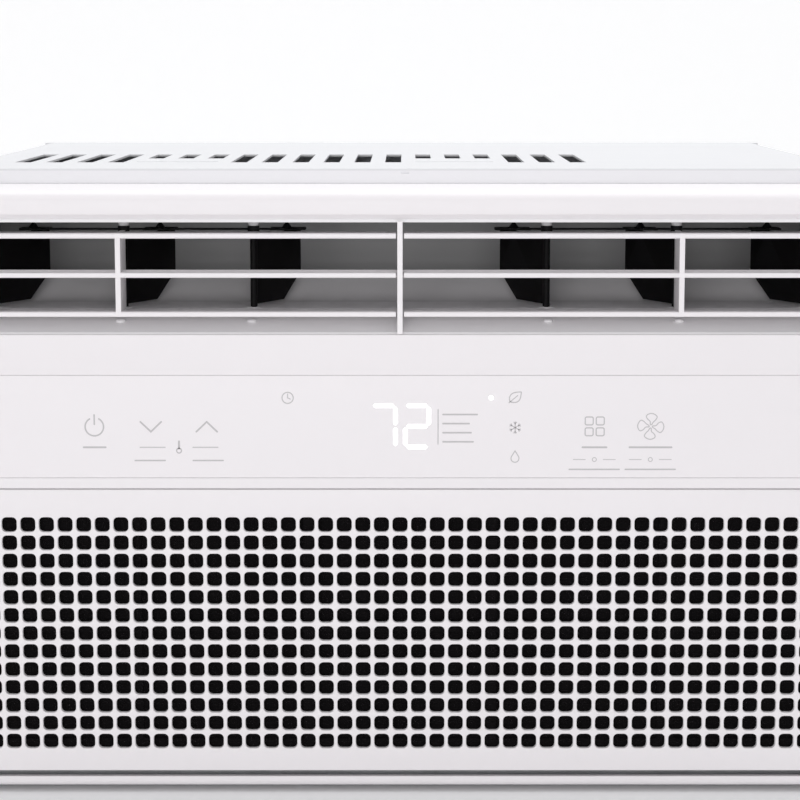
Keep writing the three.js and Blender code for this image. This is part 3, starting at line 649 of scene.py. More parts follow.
def cabinet_shell():
    """The sheet that wraps over both sides and the top, with its slots and a rounded front edge."""
    stations = wrap_stations()
    side_edges = [y + sign * SIDE_SLOT_HALF for y in SIDE_SLOTS for sign in (-1, 1)]
    insets = {SEAM + EDGE_ROUND * (1 - u): EDGE_ROUND * (1 - v) for u, v in arc(0, 0, 1, 0, 90, 4)}
    lines = sorted({*insets, SLOT_FRONT, SLOT_MIDDLE, SLOT_BACK, CASE_BACK, *side_edges})

    def skin(depth_at):
        return [[(x - depth_at(y) * nx, y, z - depth_at(y) * nz) for y in lines]
                for (x, z), (nx, nz), _ in stations]

    def pierced(i, j):
        slot, y = stations[i][2], (lines[j] + lines[j + 1]) / 2
        if slot is None:
            return False
        if slot == "side":
            return any(abs(y - middle) < SIDE_SLOT_HALF for middle in SIDE_SLOTS)
        return (SLOT_MIDDLE if slot in SHORT_SLOTS else SLOT_FRONT) < y < SLOT_BACK

    return pierced_shell("cabinet_wrap", skin(lambda y: insets.get(y, 0)), skin(lambda y: SHEET), pierced)


def cabinet_flanges():
    """The front flange behind the bezel's step and the frame that the rear guard screws onto."""
    inside = cad_high.x - SHEET / 2
    depth = 0.8 * SHEET
    arch = [(x - depth * nx, z - depth * nz) for (x, z), (nx, nz), _ in wrap_stations()
            if z >= CABINET_TOP - CORNER_RADIUS]
    foot = CABINET_TOP - FLANGE_DROP
    front = prism([(-inside, foot), *arch, (inside, foot)], SEAM + FLANGE_SETBACK, SEAM + SHEET)
    xs = [-inside, -inside + REAR_FLANGE, inside - REAR_FLANGE, inside]
    zs = [CABINET_FOOT, CABINET_TOP - REAR_FLANGE_DROP, CABINET_TOP - CORNER_RADIUS]
    grids = [[[(x, y, z) for z in zs] for x in xs] for y in (CASE_BACK, CASE_BACK - SHEET)]
    rear = pierced_shell("rear_flange", *grids, lambda i, j: i == 1 and j == 0)
    return front, rear


def prism(section, start, end, axis="Y"):
    """A closed mesh with the section across one axis: (x, z) points for Y, (y, z) points for X."""
    bm = bmesh.new()
    ends = []
    for along in (start, end):
        ends.append([bm.verts.new((u, along, v) if axis == "Y" else (along, u, v)) for u, v in section])
        bm.faces.new(ends[-1])
    bridge(bm, *ends)
    return mesh_from("prism", bm)


def rod(x, z, radius, y0, y1, sides=24):
    """A round bar along Y as a mesh."""
    bm = bmesh.new()
    bmesh.ops.create_cone(bm, cap_ends=True, segments=sides, radius1=radius, radius2=radius, depth=y1 - y0)
    bmesh.ops.transform(bm, matrix=Matrix.Rotation(math.pi / 2, 4, "X"), verts=bm.verts)
    bmesh.ops.translate(bm, vec=(x, (y0 + y1) / 2, z), verts=bm.verts)
    return mesh_from("rod", bm)


def screw_places():
    for index in range(1, 5):
        low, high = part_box(f"rear_screw_{index}")
        yield (low.x + high.x) / 2, (low.z + high.z) / 2


def make_cabinet():
    """The wrap with its rear flange, the front flange, and the bars pressed beside the short slots."""
    wrap = new_object("cabinet_piece", cabinet_shell(), "white_paint")
    front_flange, rear_flange = cabinet_flanges()
    carve(wrap, [rear_flange], "UNION")
    carve(wrap, [rod(x, z, SCREW_HOLE, CASE_BACK - 3 * MM, CASE_BACK + 2 * MM) for x, z in screw_places()])
    bevel(wrap, 0.4 * MM, 2, 30)
    settle(wrap, "cabinet")
    # The front flange gets a lighter copy of the wrap's paint: painted light.
    flange = new_object("cabinet_front_flange", front_flange, None, flange_paint_painted_light().material)
    carve(flange, [block(NOTCH_X, (SEAM - MM, SEAM + NOTCH_DEPTH), (NOTCH_TOP - NOTCH_HEIGHT, NOTCH_TOP))])
    bevel(flange, 0.3 * MM, 2, 30)
    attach(flange, "chassis")
    height = (CABINET_TOP - BAR_SUNK, CABINET_TOP + BAR_RISE)
    pressed = [block(reach, span(BAR_Y, BAR_HALF), height) for reach in SHORT_SLOT_BARS]
    rider("cabinet_pressed_bars", merged("bars", pressed), "white_paint", "chassis", 0.3 * MM)


GUARD_WINDOWS_X = [x * MM for x in (-132, 0, 132)]
GUARD_WINDOW_HALF = 60 * MM
GUARD_ROWS = [(36 + 28 * i) * MM for i in range(9)]
GUARD_ROW_HEIGHT = 20 * MM
GUARD_RIBS = [i * 6.8 * MM for i in range(-8, 9)]
RIB_HALF = 0.6 * MM
RIB_LAP = 3 * MM
RIB_INSET, RIB_SUNK = 0.8 * MM, 1.4 * MM
SCREW_SEAT = 4.8 * MM
SEAT_DEPTH = 2.6 * MM


def make_rear_guard():
    """A plate with windows, each closed by upright ribs."""
    low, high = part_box("rear_guard")
    xs = sorted([low.x, high.x, *(x + s * GUARD_WINDOW_HALF for x in GUARD_WINDOWS_X for s in (-1, 1))])
    zs = sorted([low.z, high.z, *(z + d for z in GUARD_ROWS for d in (0, GUARD_ROW_HEIGHT))])
    grids = [[[(x, y, z) for z in zs] for x in xs] for y in (high.y, low.y)]
    plate = pierced_shell("guard_plate", *grids, lambda i, j: i % 2 == 1 and j % 2 == 1)
    guard = new_object("rear_guard_piece", plate, "white_paint")
    carve(guard, [rod(x, z, SCREW_HOLE, low.y - MM, high.y + MM) for x, z in screw_places()])
    carve(guard, [rod(x, z, SCREW_SEAT, high.y - SEAT_DEPTH, high.y + MM) for x, z in screw_places()])
    bevel(guard, 0.5 * MM, 2)
    settle(guard, "rear_guard")
    depth = (low.y + RIB_INSET, high.y - RIB_SUNK)
    height = (GUARD_ROWS[0] - RIB_LAP, GUARD_ROWS[-1] + GUARD_ROW_HEIGHT + RIB_LAP)
    ribs = [block(span(middle + x, RIB_HALF), depth, height)
            for middle in GUARD_WINDOWS_X for x in GUARD_RIBS]
    rider("rear_guard_ribs", merged("ribs", ribs), "white_paint", "chassis", 0.3 * MM, 1)


CROSS_ARM, CROSS_HALF, CROSS_DEPTH = 2.4 * MM, 0.45 * MM, 1.3 * MM


def make_screws():
    for index, (x, z) in enumerate(screw_places(), 1):
        node = f"rear_screw_{index}"
        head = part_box(node)[1].y
        cross = [block(span(x, arm), (head - CROSS_DEPTH, head + MM), span(z, rise))
                 for arm, rise in ((CROSS_ARM, CROSS_HALF), (CROSS_HALF, CROSS_ARM))]
        refined(node, 0.35 * MM, 3, 35, cross)


# ---- Front ----
BEZEL_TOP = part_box("front_bezel")[1].z
GROOVE_DROP = 11.6 * MM
GROOVE_HEIGHT, GROOVE_DEPTH = 0.45 * MM, 0.7 * MM
LIP_RISE, LIP_DROP, LIP_DEPTH = 4.35 * MM, 0.2 * MM, 4 * MM
OUTLET_TOP = 292 * MM
OUTLET_HALF = 226 * MM


def make_bezel():
    """The bezel gets a fine groove near its top and a lip that is sloped over the outlet."""
    groove_z = BEZEL_TOP - GROOVE_DROP
    across = (-cad_high.x - MM, cad_high.x + MM)
    groove = block(across, (FRONT - MM, FRONT + GROOVE_DEPTH), (groove_z - GROOVE_HEIGHT, groove_z))
    foot = OUTLET_TOP - LIP_DROP
    lip = [(FRONT - MM, OUTLET_TOP + LIP_RISE), (FRONT + LIP_DEPTH, foot), (FRONT - MM, foot)]
    refined("front_bezel", 0.5 * MM, 2, 30, [groove, prism(lip, -OUTLET_HALF, OUTLET_HALF, "X")])
    refined("outlet_post", 0.3 * MM)
    refined("cord_gland", 0.4 * MM, 3)


HOLE = 8.15 * MM
PITCH = 9.35 * MM
HOLE_CORNER = 2.6 * MM
COLUMNS, ROWS = 47, 13
GRILLE_MARGIN = 13.95 * MM
GRILLE_THICKNESS = 2.6 * MM
PLATE_HALF = 232 * MM
PLATE_EDGE = 0.6 * MM
HOLE_CHAMFER = 0.28 * MM
RIB_ROWS = (3, 6, 9)
BACK_RIB_HALF, BACK_RIB_DEPTH = 0.7 * MM, 1.2 * MM
RIM_WIDTH, RIM_DEPTH = 2.4 * MM, 9 * MM
RIM_BELOW, RIM_ABOVE = 2 * MM, 3 * MM
HAIR = 0.1 * MM
PIN_RADIUS, PIN_HALF = 1.7 * MM, 2.3 * MM
PIN_X, PIN_IN, PIN_UP = 231.8 * MM, 5 * MM, 5.5 * MM


def rounded_square(side, corner):
    """Corner by corner points round a square of that side, anticlockwise from the lower right."""
    reach = side / 2 - corner
    points = []
    for quarter, (right, up) in enumerate(((1, -1), (1, 1), (-1, 1), (-1, -1))):
        points += arc(right * reach, up * reach, corner, 90 * quarter - 90, 90 * quarter, 4)
    return points


def tile_face(bm, inner, outer):
    """The flat ground of one tile, between the hole's outline and the tile's four corners."""
    count = len(inner)
    steps = count // 4
    for quarter in range(4):
        first = quarter * steps
        for i in range(first, first + steps - 1):
            bm.faces.new((inner[i], inner[i + 1], outer[quarter]))
        last, following = (first + steps - 1) % count, (first + steps) % count
        bm.faces.new((inner[last], inner[following], outer[(quarter + 1) % 4], outer[quarter]))


def grille_holes(bm, centres, front, back):
    """The perforated field: a tile round each centre, with a chamfered, rounded square hole."""
    mouth = rounded_square(HOLE, HOLE_CORNER)
    throat = rounded_square(HOLE - 2 * HOLE_CHAMFER, HOLE_CORNER - HOLE_CHAMFER)
    half = PITCH / 2
    corners = ((half, -half), (half, half), (-half, half), (-half, -half))
    for cx, cz in centres:
        levels = ((mouth, front), (throat, front + HOLE_CHAMFER), (throat, back))
        rings = [[bm.verts.new((cx + u, y, cz + v)) for u, v in outline] for outline, y in levels]
        for near, far in zip(rings, rings[1:]):
            bridge(bm, near, far)
        for y, inner in ((front, rings[0]), (back, rings[2])):
            tile_face(bm, inner, [bm.verts.new((cx + u, y, cz + v)) for u, v in corners])


def plate_border(bm, outer, inner, front, back, edge):
    """A flat frame round the perforated field, with a rounded outer edge. It meets every tile's corner."""
    x0, x1, z0, z1 = inner
    across = [x0 + (x1 - x0) * i / COLUMNS for i in range(COLUMNS + 1)]
    upward = [z0 + (z1 - z0) * i / ROWS for i in range(ROWS + 1)]
    sides = [[(x, z0) for x in across], [(x1, z) for z in upward],
             [(x, z1) for x in reversed(across)], [(x0, z) for z in reversed(upward)]]

    def ring(y, inset=0):
        x0, x1, z0, z1 = outer
        return [bm.verts.new(p) for p in (
            (x0 + inset, y, z0 + inset), (x1 - inset, y, z0 + inset),
            (x1 - inset, y, z1 - inset), (x0 + inset, y, z1 - inset))]

    rings = [ring(front + edge * (1 - u), edge * (1 - v)) for u, v in arc(0, 0, 1, 0, 90, 4)] + [ring(back)]
    for near, far in zip(rings, rings[1:]):
        bridge(bm, near, far)
    for y, corners in ((front, rings[0]), (back, rings[-1])):
        for i, side in enumerate(sides):
            inside = [bm.verts.new((x, y, z)) for x, z in reversed(side)]
            bm.faces.new((corners[i], corners[(i + 1) % 4], *inside))


def grille_mesh(low, high):
    """The perforated plate, and the height of the top of its field."""
    front, back = low.y, low.y + GRILLE_THICKNESS
    width, height = COLUMNS * PITCH, ROWS * PITCH
    top = high.z - GRILLE_MARGIN + (PITCH - HOLE) / 2
    centres = [
        ((column - (COLUMNS - 1) / 2) * PITCH, top - (row + 0.5) * PITCH)
        for row in range(ROWS) for column in range(COLUMNS)]
    bm = bmesh.new()
    grille_holes(bm, centres, front, back)
    field = (-width / 2, width / 2, top - height, top)
    plate_border(bm, (-PLATE_HALF, PLATE_HALF, low.z, high.z), field, front, back, PLATE_EDGE)
    bmesh.ops.remove_doubles(bm, verts=bm.verts, dist=WELD)
    return mesh_from("grille", bm), top


def grille_ribs(low, high, field_top):
    """The rims at the plate's two ends and three ribs across its back."""
    back, half_field = low.y + GRILLE_THICKNESS, COLUMNS * PITCH / 2
    ribs = []
    for side in (-1, 1):
        x = sorted((side * (PLATE_HALF - RIM_WIDTH), side * PLATE_HALF))
        ribs.append(block(x, (back - 2 * HAIR, low.y + RIM_DEPTH), (low.z + RIM_BELOW, high.z - RIM_ABOVE)))
    for row in RIB_ROWS:
        height = span(field_top - row * PITCH, BACK_RIB_HALF)
        ribs.append(block(span(0, half_field), (back - HAIR, back + BACK_RIB_DEPTH), height))
    return merged("rims", ribs)


def make_intake_grille():
    low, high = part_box("intake_grille")
    plate, field_top = grille_mesh(low, high)
    grille = new_object("intake_grille_face", plate, "white_plastic")
    smooth_by_angle(grille, 32)
    settle(grille, "intake_grille")
    body = BODY_OF["intake_grille"]
    rider("intake_grille_ribs", grille_ribs(low, high, field_top), "white_plastic", body, 0.4 * MM)
    section = circle(low.y + PIN_IN, low.z + PIN_UP, PIN_RADIUS)
    pins = [prism(section, *span(side * PIN_X, PIN_HALF), "X") for side in (-1, 1)]
    rider("intake_grille_pins", merged("pins", pins), "white_plastic", body, 0.3 * MM)


WEAVE_MARGIN = 4 * MM
WEAVE_SPACING = 2.4 * MM
STRAND_HALF = 0.16 * MM


def make_air_filter():
    """The filter's frame with a weave of upright and level strands."""
    low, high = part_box("air_filter")
    refined("air_filter", 0.5 * MM)
    middle, half = (low.y + high.y) / 2, STRAND_HALF
    behind, ahead = (middle - 3 * half, middle - 2.6 * half), (middle - 3.4 * half, middle - 3 * half)
    left, right = low.x + WEAVE_MARGIN, high.x - WEAVE_MARGIN
    bottom, top = low.z + WEAVE_MARGIN, high.z - WEAVE_MARGIN
    strands = []
    for i in range(int((right - left) / WEAVE_SPACING)):
        strands.append(block(span(left + (i + 0.5) * WEAVE_SPACING, half), behind, (bottom, top)))
    for i in range(int((top - bottom) / WEAVE_SPACING)):
        strands.append(block((left, right), ahead, span(bottom + (i + 0.5) * WEAVE_SPACING, half)))
    weave = new_object("air_filter_weave", merged("weave", strands), "filter_mesh")
    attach(weave, BODY_OF["air_filter"])


# ---- Air outlet ----
SIDES = ("left", "right")
DUCT_FLOOR = 245.5 * MM
SILL_EDGE, SILL_TOP, SILL_REACH = 236.1 * MM, 242.05 * MM, 20 * MM
RAMP_START = -146 * MM
RAMP_RADIUS = 27 * MM
RAMP_THICKNESS = 1.5 * MM
PAD_RADIUS = 3 * MM
PEG_REACH = 31 * MM
PEG_CLEAR = 4 * MM
BARB_LOW, BARB_HIGH = 284.3 * MM, 287.7 * MM
BARB = [(1e-5, BARB_LOW), (2.3 * MM, BARB_LOW), (2.4 * MM, BARB_LOW + 0.4 * MM),
        (0.15 * MM, BARB_HIGH - 0.1 * MM), (1e-5, BARB_HIGH)]
BUSHING = [(1.7 * MM, 287.3 * MM), (2.4 * MM, 287.3 * MM), (3.4 * MM, 291.2 * MM), (1.7 * MM, 291.2 * MM)]
COLLAR = [(r * MM, h * MM) for r, h in
          ((2.0, -0.4), (2.0, 0.35), (2.4, 0.45), (3.4, 0.45), (3.9, 0.2), (4.0, -0.4))]
NUB_IN, NUB_Z, NUB_RADIUS = 15.5 * MM, 240.4 * MM, 2.6 * MM
LINK_SLOTS_APART = 65.9 * MM
LINK_INSET = 10 * MM
LINK_LOBE = 8.5 * MM
LINK_STRIP = (2.8 * MM, 7.2 * MM)
LINK_THICKNESS = 0.8 * MM


def make_link_bar(side):
    """A thin strip that widens round each of its three slots."""
    node = f"vane_link_{side}"
    low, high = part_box(node)
    sign = 1 if side == "right" else -1
    inner = (low.x if sign > 0 else -high.x) + LINK_INSET
    slots = [inner + i * LINK_SLOTS_APART for i in range(3)]
    upper = block((low.x - MM, high.x + MM), (low.y - MM, high.y + MM), (low.z + LINK_THICKNESS, high.z + MM))
    height = (low.z - MM, low.z + LINK_THICKNESS + HAIR)
    sides = []
    for near, far in zip(slots, slots[1:]):
        x = sorted((sign * (near + LINK_LOBE), sign * (far - LINK_LOBE)))
        sides.append(block(x, (low.y - MM, low.y + LINK_STRIP[0]), height))
        sides.append(block(x, (low.y + LINK_STRIP[1], high.y + MM), height))
    refined(node, 0.15 * MM, 2, 35, [upper, *sides])


def make_ramp():
    """The duct's floor sweeps up behind the vanes to the scroll's mouth."""
    back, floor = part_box("outlet_duct")[1].y, DUCT_FLOOR - HAIR
    reach = math.degrees(math.asin((back - RAMP_START) / RAMP_RADIUS))
    curve = arc(RAMP_START, floor + RAMP_RADIUS, RAMP_RADIUS, -90, reach - 90, 14)
    section = [*curve, (back, floor - RAMP_THICKNESS), (RAMP_START, floor - RAMP_THICKNESS)]
    # Painted shade: the ramp is the duct's plastic made darker, standing for the shade behind the vanes.
    painted_shade_look = moulded("ramp_painted_shade_plastic", (0.62, 0.61, 0.62), 0.55, grain=2000, depth=0.025, darkest=0.96)
    solid = prism(section, -OUTLET_HALF, OUTLET_HALF, "X")
    ramp = new_object("outlet_duct_ramp", solid, None, painted_shade_look.material)
    smooth_by_angle(ramp, 30)
    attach(ramp, BODY_OF["outlet_duct"])


def make_vane(node):
    """A vane whose peg ends in a pointed barb above the link bar. Returns where it pivots."""
    low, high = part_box(node)
    left = low.x < 0
    pivot_x = low.x + PAD_RADIUS if left else high.x - PAD_RADIUS
    pivot_y = low.y + PAD_RADIUS
    peg_x = pivot_x + (PEG_REACH / 2 if left else -PEG_REACH / 2)
    peg_y = pivot_y + PEG_REACH * math.sqrt(3) / 2
    trimmed = block(span(peg_x, PEG_CLEAR), span(peg_y, PEG_CLEAR), (BARB_LOW + 3 * HAIR, cad_high.z))
    refined(node, 0.3 * MM, 2, 32, [trimmed])
    barb = new_object(node + "_barb", turned_mesh(BARB, (peg_x, peg_y, 0)), "black_plastic")
    smooth_by_angle(barb, 30)
    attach(barb, BODY_OF[node])
    return pivot_x, pivot_y


def make_outlet():
    """Duct, louvers, vanes and link bars, with the small stops and seats round each vane."""
    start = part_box("outlet_duct")[0].y - HAIR
    sill = [(start, SILL_EDGE), (FRONT + SILL_REACH, SILL_TOP), (start, SILL_TOP)]
    refined("outlet_duct", 0.3 * MM, 2, cutters=[prism(sill, -OUTLET_HALF, OUTLET_HALF, "X")])
    make_ramp()
    nubs = []
    for side in SIDES:
        refined(f"louver_{side}", 0.45 * MM, 3, 30)
        make_link_bar(side)
        for index in (1, 2, 3):
            x, y = make_vane(f"vane_{side}_{index}")
            nubs.append(sill_nub(x, FRONT + NUB_IN, NUB_Z))
            nubs.append(turned_mesh(COLLAR, (x, y, DUCT_FLOOR - HAIR)))
            nubs.append(turned_mesh(BUSHING, (x, y, 0)))
    seats = new_object("vane_seats", merged("nubs", nubs), "grey_plastic")
    smooth_by_angle(seats, 40)
    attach(seats, "chassis")


def sill_nub(x, y, z):
    """A half-round stop moulded on the sill in front of each vane."""
    bm = bmesh.new()
    flattened = Matrix.Translation((x, y, z)) @ Matrix.Diagonal((1, 1.2, 0.5, 1))
    bmesh.ops.create_uvsphere(bm, u_segments=24, v_segments=12, radius=NUB_RADIUS, matrix=flattened)
    return mesh_from("nub", bm)


def turned_mesh(profile, place, segments=32):
    """A closed ring or body turned about an upright axis; a profile point is (radius, height)."""
    bm = bmesh.new()
    rings = []
    for i in range(segments):
        a = i / segments * 2 * math.pi
        rings.append([bm.verts.new((r * math.cos(a), r * math.sin(a), h)) for r, h in profile])
    for i, ring in enumerate(rings):
        bridge(bm, rings[(i + 1) % segments], ring)
    bmesh.ops.translate(bm, vec=Vector(place), verts=bm.verts)
    return mesh_from("turned", bm)


# ---- Touch panel ----
# Places on the panel are (x, z) in millimetres from the middle of the overlay.
PANEL_LOW, PANEL_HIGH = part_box("control_overlay")
PANEL_MIDDLE = (PANEL_LOW.z + PANEL_HIGH.z) / 2
PRINT_LIFT = 0.05 * MM
FILM_SPREAD = 0.14 * MM
STROKE = 0.75


def panel_mesh(name, polygons):
    """Printed shapes as thin solids let into the film, each a list of (x, z) places."""
    bm = bmesh.new()
    levels = PANEL_LOW.y - PRINT_LIFT, PANEL_LOW.y + PRINT_LIFT
    for polygon in polygons:
        near, far = ([bm.verts.new((x * MM, y, PANEL_MIDDLE + z * MM)) for x, z in polygon] for y in levels)
        bm.faces.new(near)
        bm.faces.new(reversed(far))
        bridge(bm, far, near)
    return mesh_from(name, bm)


def stroke(points, width=STROKE, closed=False):
    """A line of even width: four-sided cells that meet edge to edge, and round ends if it is open."""
    places = [Vector(point) for point in points]
    count = len(places)

    def edge(i):
        ways = []
        if closed or i > 0:
            ways.append((places[i] - places[i - 1]).normalized())
        if closed or i < count - 1:
            ways.append((places[(i + 1) % count] - places[i]).normalized())
        along = sum(ways, Vector((0, 0))).normalized()
        across = Vector((-along.y, along.x)) * (width / 2 / max(0.4, along.dot(ways[0])))
        return tuple(places[i] - across), tuple(places[i] + across)

    edges = [edge(i) for i in range(count)]
    pairs = list(zip(edges, edges[1:])) + ([(edges[-1], edges[0])] if closed else [])
    cells = [[near[0], far[0], far[1], near[1]] for near, far in pairs]
    if not closed:
        for tip, neighbour in ((places[0], places[1]), (places[-1], places[-2])):
            angle = math.degrees(math.atan2(tip.y - neighbour.y, tip.x - neighbour.x))
            cells.append(arc(*tip, width / 2, angle - 90, angle + 90, 6))
    return cells


def ring(x, z, radius, width):
    return stroke(circle(x, z, radius), width, closed=True)


def bar(x, z, length, width=0.9):
    return stroke([(x - length / 2, z), (x + length / 2, z)], width)


def power_symbol(x, z):
    return stroke(arc(x, z, 4.6, 120, 420, 36)) + stroke([(x, z + 1.2), (x, z + 6)])


def chevron(x, z, up):
    rise = 2.5 if up else -2.5
    return stroke([(x - 5.2, z - rise), (x, z + rise), (x + 5.2, z - rise)], 0.85)


def softened(points, rounds=3):
    """A closed outline with its corners cut off again and again until they are round."""
    for _ in range(rounds):
        pairs = zip(points, points[1:] + points[:1])
        points = [(a + (b - a) * t, c + (d - c) * t) for (a, c), (b, d) in pairs for t in (0.25, 0.75)]
    return points


def four_squares(x, z):
    shapes, h = [], 2.0
    for u in (x - 2.75, x + 2.75):
        for v in (z - 2.75, z + 2.75):
            edge = [(u - h, v - h), (u, v - h), (u + h, v - h), (u + h, v),
                    (u + h, v + h), (u, v + h), (u - h, v + h), (u - h, v)]
            shapes += stroke(softened(edge, 2), 0.6, closed=True)
    return shapes


def fan_symbol(x, z):
    """Four swept blades."""
    blade = ((0.9, -20), (2.4, -18), (4.2, -27), (6.2, -24), (6.9, 6),
             (6.2, 34), (4.2, 36), (2.6, 14), (0.9, 32))
    shapes = []
    for quarter in range(4):
        turned = [(radius, math.radians(quarter * 90 + 80 + turn)) for radius, turn in blade]
        outline = [(x + radius * math.cos(a), z + radius * math.sin(a)) for radius, a in turned]
        shapes += stroke(softened(outline, 2), 0.5, closed=True)
    return shapes


def snowflake(x, z):
    shapes = []
    for arm in range(6):
        a = math.radians(30 + arm * 60)
        tip = (x + 2.9 * math.cos(a), z + 2.9 * math.sin(a))
        shapes += stroke([(x, z), tip], 0.45)
        for turn in (-1, 1):
            b = a + turn * math.radians(140)
            knee = (x + 1.9 * math.cos(a), z + 1.9 * math.sin(a))
            shapes += stroke([knee, (knee[0] - 1.1 * math.cos(b), knee[1] - 1.1 * math.sin(b))], 0.4)
    return shapes


def drop(x, z):
    outline = arc(x, z - 0.8, 2, -215, 35, 20)
    return stroke(outline + [(x, z + 3)], 0.5, closed=True)


def leaf(x, z):
    edge = [(x - 2.9, z - 2.3), (x - 3, z + 0.4), (x - 1.4, z + 2.4), (x + 2.9, z + 2.9), (x + 3, z + 2.4),
            (x + 2.4, z - 1.2), (x + 0.4, z - 2.7)]
    vein = [(x - 3.2, z - 2.7), (x + 1.2, z + 1)]
    return stroke(softened(edge, 2), 0.5, closed=True) + stroke(vein, 0.45)


def clock(x, z):
    return ring(x, z, 2.8, 0.55) + stroke([(x, z + 1.9), (x, z), (x + 1.3, z - 0.6)], 0.5)


# The corners that each digit's lit segments pass, as shares of its half width and half height.
PATHS = {"7": ((-1, 1), (1, 1), (1, 0), (1, -1)), "2": ((-1, 1), (1, 1), (1, 0), (-1, 0), (-1, -1), (1, -1))}
DIGIT_WIDTH, DIGIT_HEIGHT = 13.9, 23.1
SEGMENT, SEGMENT_GAP = 2.2, 0.45


def digit(x, z, sign):
    """A digit with its middle at (x, z), each lit segment a bar with pointed ends."""
    half = SEGMENT / 2
    reach, rise = DIGIT_WIDTH / 2 - half, DIGIT_HEIGHT / 2 - half
    corners = [Vector((x + u * reach, z + v * rise)) for u, v in PATHS[sign]]
    shapes = []
    for start, end in zip(corners, corners[1:]):
        along = (end - start).normalized()
        across = Vector((-along.y, along.x)) * half
        start, end = start + along * SEGMENT_GAP, end - along * SEGMENT_GAP
        shapes.append([tuple(p) for p in (
            start, start + along * half - across, end - along * half - across,
            end, end - along * half + across, start + along * half + across)])
    return shapes


ICON_ROW, LABEL_ROW, DASH_ROW, SUBLABEL_ROW = 0.0, -10.4, -16.6, -21.6
POWER_X, DOWN_X, UP_X, MODE_X, FAN_X = -152.6, -124.4, -96.5, 97.2, 125.2


def symbols():
    """Everything printed on the panel; a plain bar takes the place of each word."""
    shapes = power_symbol(POWER_X, ICON_ROW) + bar(POWER_X, LABEL_ROW, 11)
    shapes += chevron(DOWN_X, ICON_ROW, False) + chevron(UP_X, ICON_ROW, True)
    middle = (DOWN_X + UP_X) / 2
    for side in (-1, 1):
        shapes += bar(middle + side * 13.2, LABEL_ROW, 12.5, 0.5)
        shapes += bar(middle + side * 14.5, SUBLABEL_ROW + 4.5, 15, 0.7)
    shapes += stroke([(middle, LABEL_ROW + 3), (middle, LABEL_ROW - 0.5)], 1.0)
    shapes += ring(middle, LABEL_ROW - 1.7, 1.2, 0.6)
    shapes += clock(-56, 14.6)
    for row, length in enumerate((17, 13, 14, 15)):
        shapes += bar(21.5 + length / 2, 6.2 - row * 4.6, length, 0.8)
    shapes += leaf(57.5, 14.8) + snowflake(57.5, -0.4) + drop(57.5, -15.2)
    shapes += four_squares(MODE_X, ICON_ROW + 0.2) + fan_symbol(FAN_X, ICON_ROW + 0.2)
    for x in (MODE_X, FAN_X):
        shapes += bar(x, LABEL_ROW, 12 if x == MODE_X else 21)
        for side in (-1, 1):
            shapes += bar(x + side * 7.5, DASH_ROW, 6, 0.35)
        shapes += ring(x, DASH_ROW, 1.0, 0.4)
        shapes += bar(x, SUBLABEL_ROW, 25, 0.7)
    return shapes


def spread_film(film):
    """Lets the panel's film reach a little further into the seams round it."""
    half_width, half_height = PANEL_HIGH.x, PANEL_HIGH.z - PANEL_MIDDLE
    for vertex in film.data.vertices:
        vertex.co.x *= 1 + FILM_SPREAD / half_width
        vertex.co.z = PANEL_MIDDLE + (vertex.co.z - PANEL_MIDDLE) * (1 + FILM_SPREAD / half_height)


DIVIDER = [(19, 8.8), (19, -8.8)]
DIGITS_X, DIGITS_Z = (-8.1, 8.5), 0.2
LIT_DOT = (45.4, 14.6, 1.2)


def make_controls():
    spread_film(refined("control_overlay", 0.12 * MM, 2))
    ink = printed("panel_print", (0.54, 0.52, 0.53)).material
    fine = printed("panel_line", (0.5, 0.48, 0.49)).material
    shown = [shape for x, sign in zip(DIGITS_X, "72") for shape in digit(x, DIGITS_Z, sign)]
    shown.append(circle(*LIT_DOT, 20))
    for name, shapes, material in (
            ("prints", symbols(), ink), ("divider", stroke(DIVIDER, 0.45), fine),
            ("digits", shown, lit_digits().material)):
        piece = new_object("panel_" + name, panel_mesh(name, shapes), None, material)
        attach(piece, BODY_OF["control_overlay"])
    refined("display_module", 0.3 * MM)
    refined("control_board", 0.1 * MM, 1)


# ---- Coils ----
BEND_REACH = 8.9 * MM
BEND_OUT, BEND_TIP = 5 * MM, 6.6 * MM
FIN_PITCH = 1.4 * MM
FIN_HALF = 0.11 * MM
FIN_INSET, FIN_SHORT = 1.2 * MM, 1.5 * MM
FIN_START = 2.4 * MM
FIN_SWAY = 0.12 * MM
PLATE = 1.3 * MM
TUBE_RADIUS = 3.5 * MM
TUBE_OFFSET = 9 * MM


def coil_fins(low, high, x0, x1):
    """Upright fins that stray sideways a little, as bent fins do."""
    depth = (low.y + FIN_INSET, high.y - FIN_INSET)
    height = (low.z + FIN_SHORT, high.z - FIN_SHORT)
    fins = []
    for i in range(int((x1 - x0 - 4 * MM) / FIN_PITCH)):
        x = x0 + FIN_START + i * FIN_PITCH
        sway = FIN_SWAY * math.sin(i * 1.7)
        fins.append(block(span(x + sway, FIN_HALF), depth, height))
    return merged("fins", fins)


def coil_tubes(low, high, x0, x1, rows):
    """Two straight runs in each row, joined at both ends by a return bend."""
    middle = (low.y + high.y) / 2
    near, far = middle - TUBE_OFFSET, middle + TUBE_OFFSET
    pitch = (high.z - low.z) / rows
    parts = []
    for row in range(rows):
        z = low.z + (row + 0.5) * pitch
        for y in (near, far):
            run = [(x0 - MM, y, z), ((x0 + x1) / 2, y, z), (x1 + MM, y, z)]
            parts.append(tube("run", run, TUBE_RADIUS))
        for x, out in ((x0, -1), (x1, 1)):
            path = [(x - out * MM, near, z), (x + out * BEND_OUT, near, z), (x + out * BEND_TIP, middle, z),
                    (x + out * BEND_OUT, far, z), (x - out * MM, far, z)]
            parts.append(tube("bend", path, TUBE_RADIUS))
    return merged("tubes", parts)


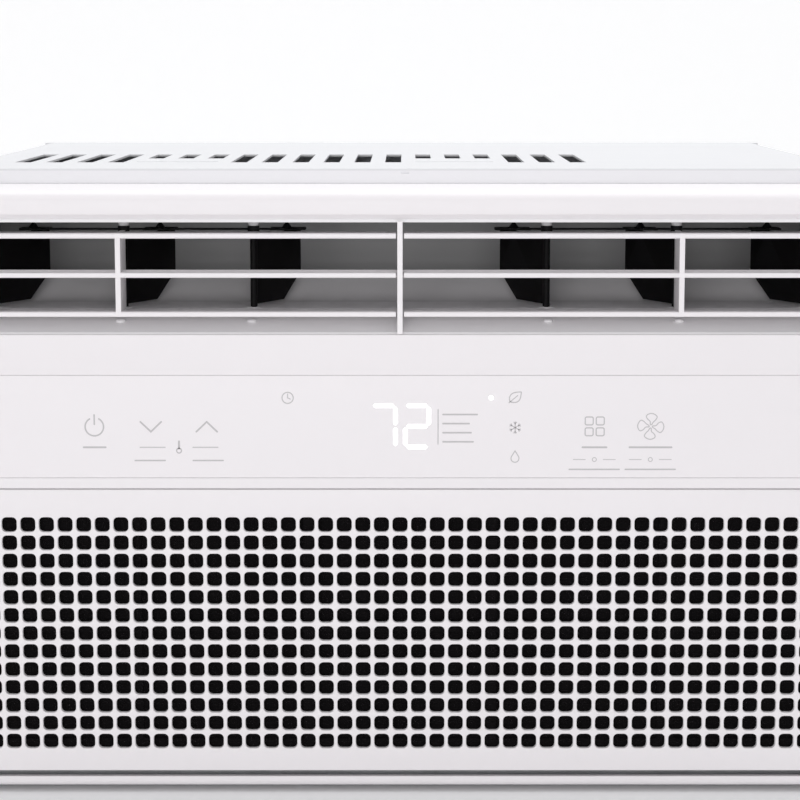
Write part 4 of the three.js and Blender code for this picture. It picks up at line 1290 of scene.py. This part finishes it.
def make_coil(node, rows):
    """Fins on copper tubes between two end plates, with return bends outside them."""
    low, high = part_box(node)
    x0, x1 = low.x + BEND_REACH, high.x - BEND_REACH
    settle(new_object(node + "_fins", coil_fins(low, high, x0, x1), "fin_aluminium"), node)
    ends = [block(x, (low.y, high.y), (low.z, high.z)) for x in ((x0, x0 + PLATE), (x1 - PLATE, x1))]
    plates = rider(node + "_plates", merged("plates", ends), "galvanised", BODY_OF[node], 0.3 * MM, 1)
    pipes = new_object(node + "_tubes", coil_tubes(low, high, x0, x1, rows), "copper")
    smooth_by_angle(pipes, 60)
    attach(pipes, BODY_OF[node])


# ---- Everything else keeps its CAD shape with worked edges ----
EDGE_WORK = {
    "base_pan": 0.5, "drain_plug": 0.4, "blower_scroll": 1.5, "drain_tray": 0.8, "bulkhead": 0.2,
    "blower_wheel": 0.25, "condenser_fan": 0.3, "fan_shroud": 0.4, "fan_motor": 0.8, "motor_shaft": 0.4,
    "motor_bracket": 0.4, "motor_strap": 0.3, "compressor": 0.8, "accumulator": 0.5, "control_box": 0.25,
    "capacitor": 0.4, "power_board": 0.15, "temperature_sensor": 0.2,
    **{f"compressor_grommet_{index}": 0.5 for index in (1, 2, 3)},
}


def make_pipe(node):
    """The pipe's route from CAD with a round section."""
    shape = mesh_from(node + "_pipe", welded(frame["nodes"][node].data))
    pipe = new_object(node + "_piece", shape, SLOT_OF[node])
    modifier = pipe.modifiers.new("round", "SUBSURF")
    modifier.levels = modifier.render_levels = 2
    apply_modifiers(pipe)
    smooth_by_angle(pipe, 60)
    settle(pipe, node)


def make_inside():
    make_coil("evaporator_coil", 4)
    make_coil("condenser_coil", 5)
    for node, width in EDGE_WORK.items():
        refined(node, width * MM, 2, 38)
    for node in ("discharge_line", "suction_line", "capillary_tube"):
        make_pipe(node)


def dress_cad_nodes():
    """The CAD nodes behind the pieces carry the same materials."""
    for node, obj in frame["nodes"].items():
        obj.data.materials.clear()
        obj.data.materials.append(MATERIALS[SLOT_OF[node]])


make_camera()
make_light()
make_studio()
make_cabinet()
make_rear_guard()
make_screws()
make_bezel()
make_intake_grille()
make_air_filter()
make_outlet()
make_controls()
make_inside()
dress_cad_nodes()
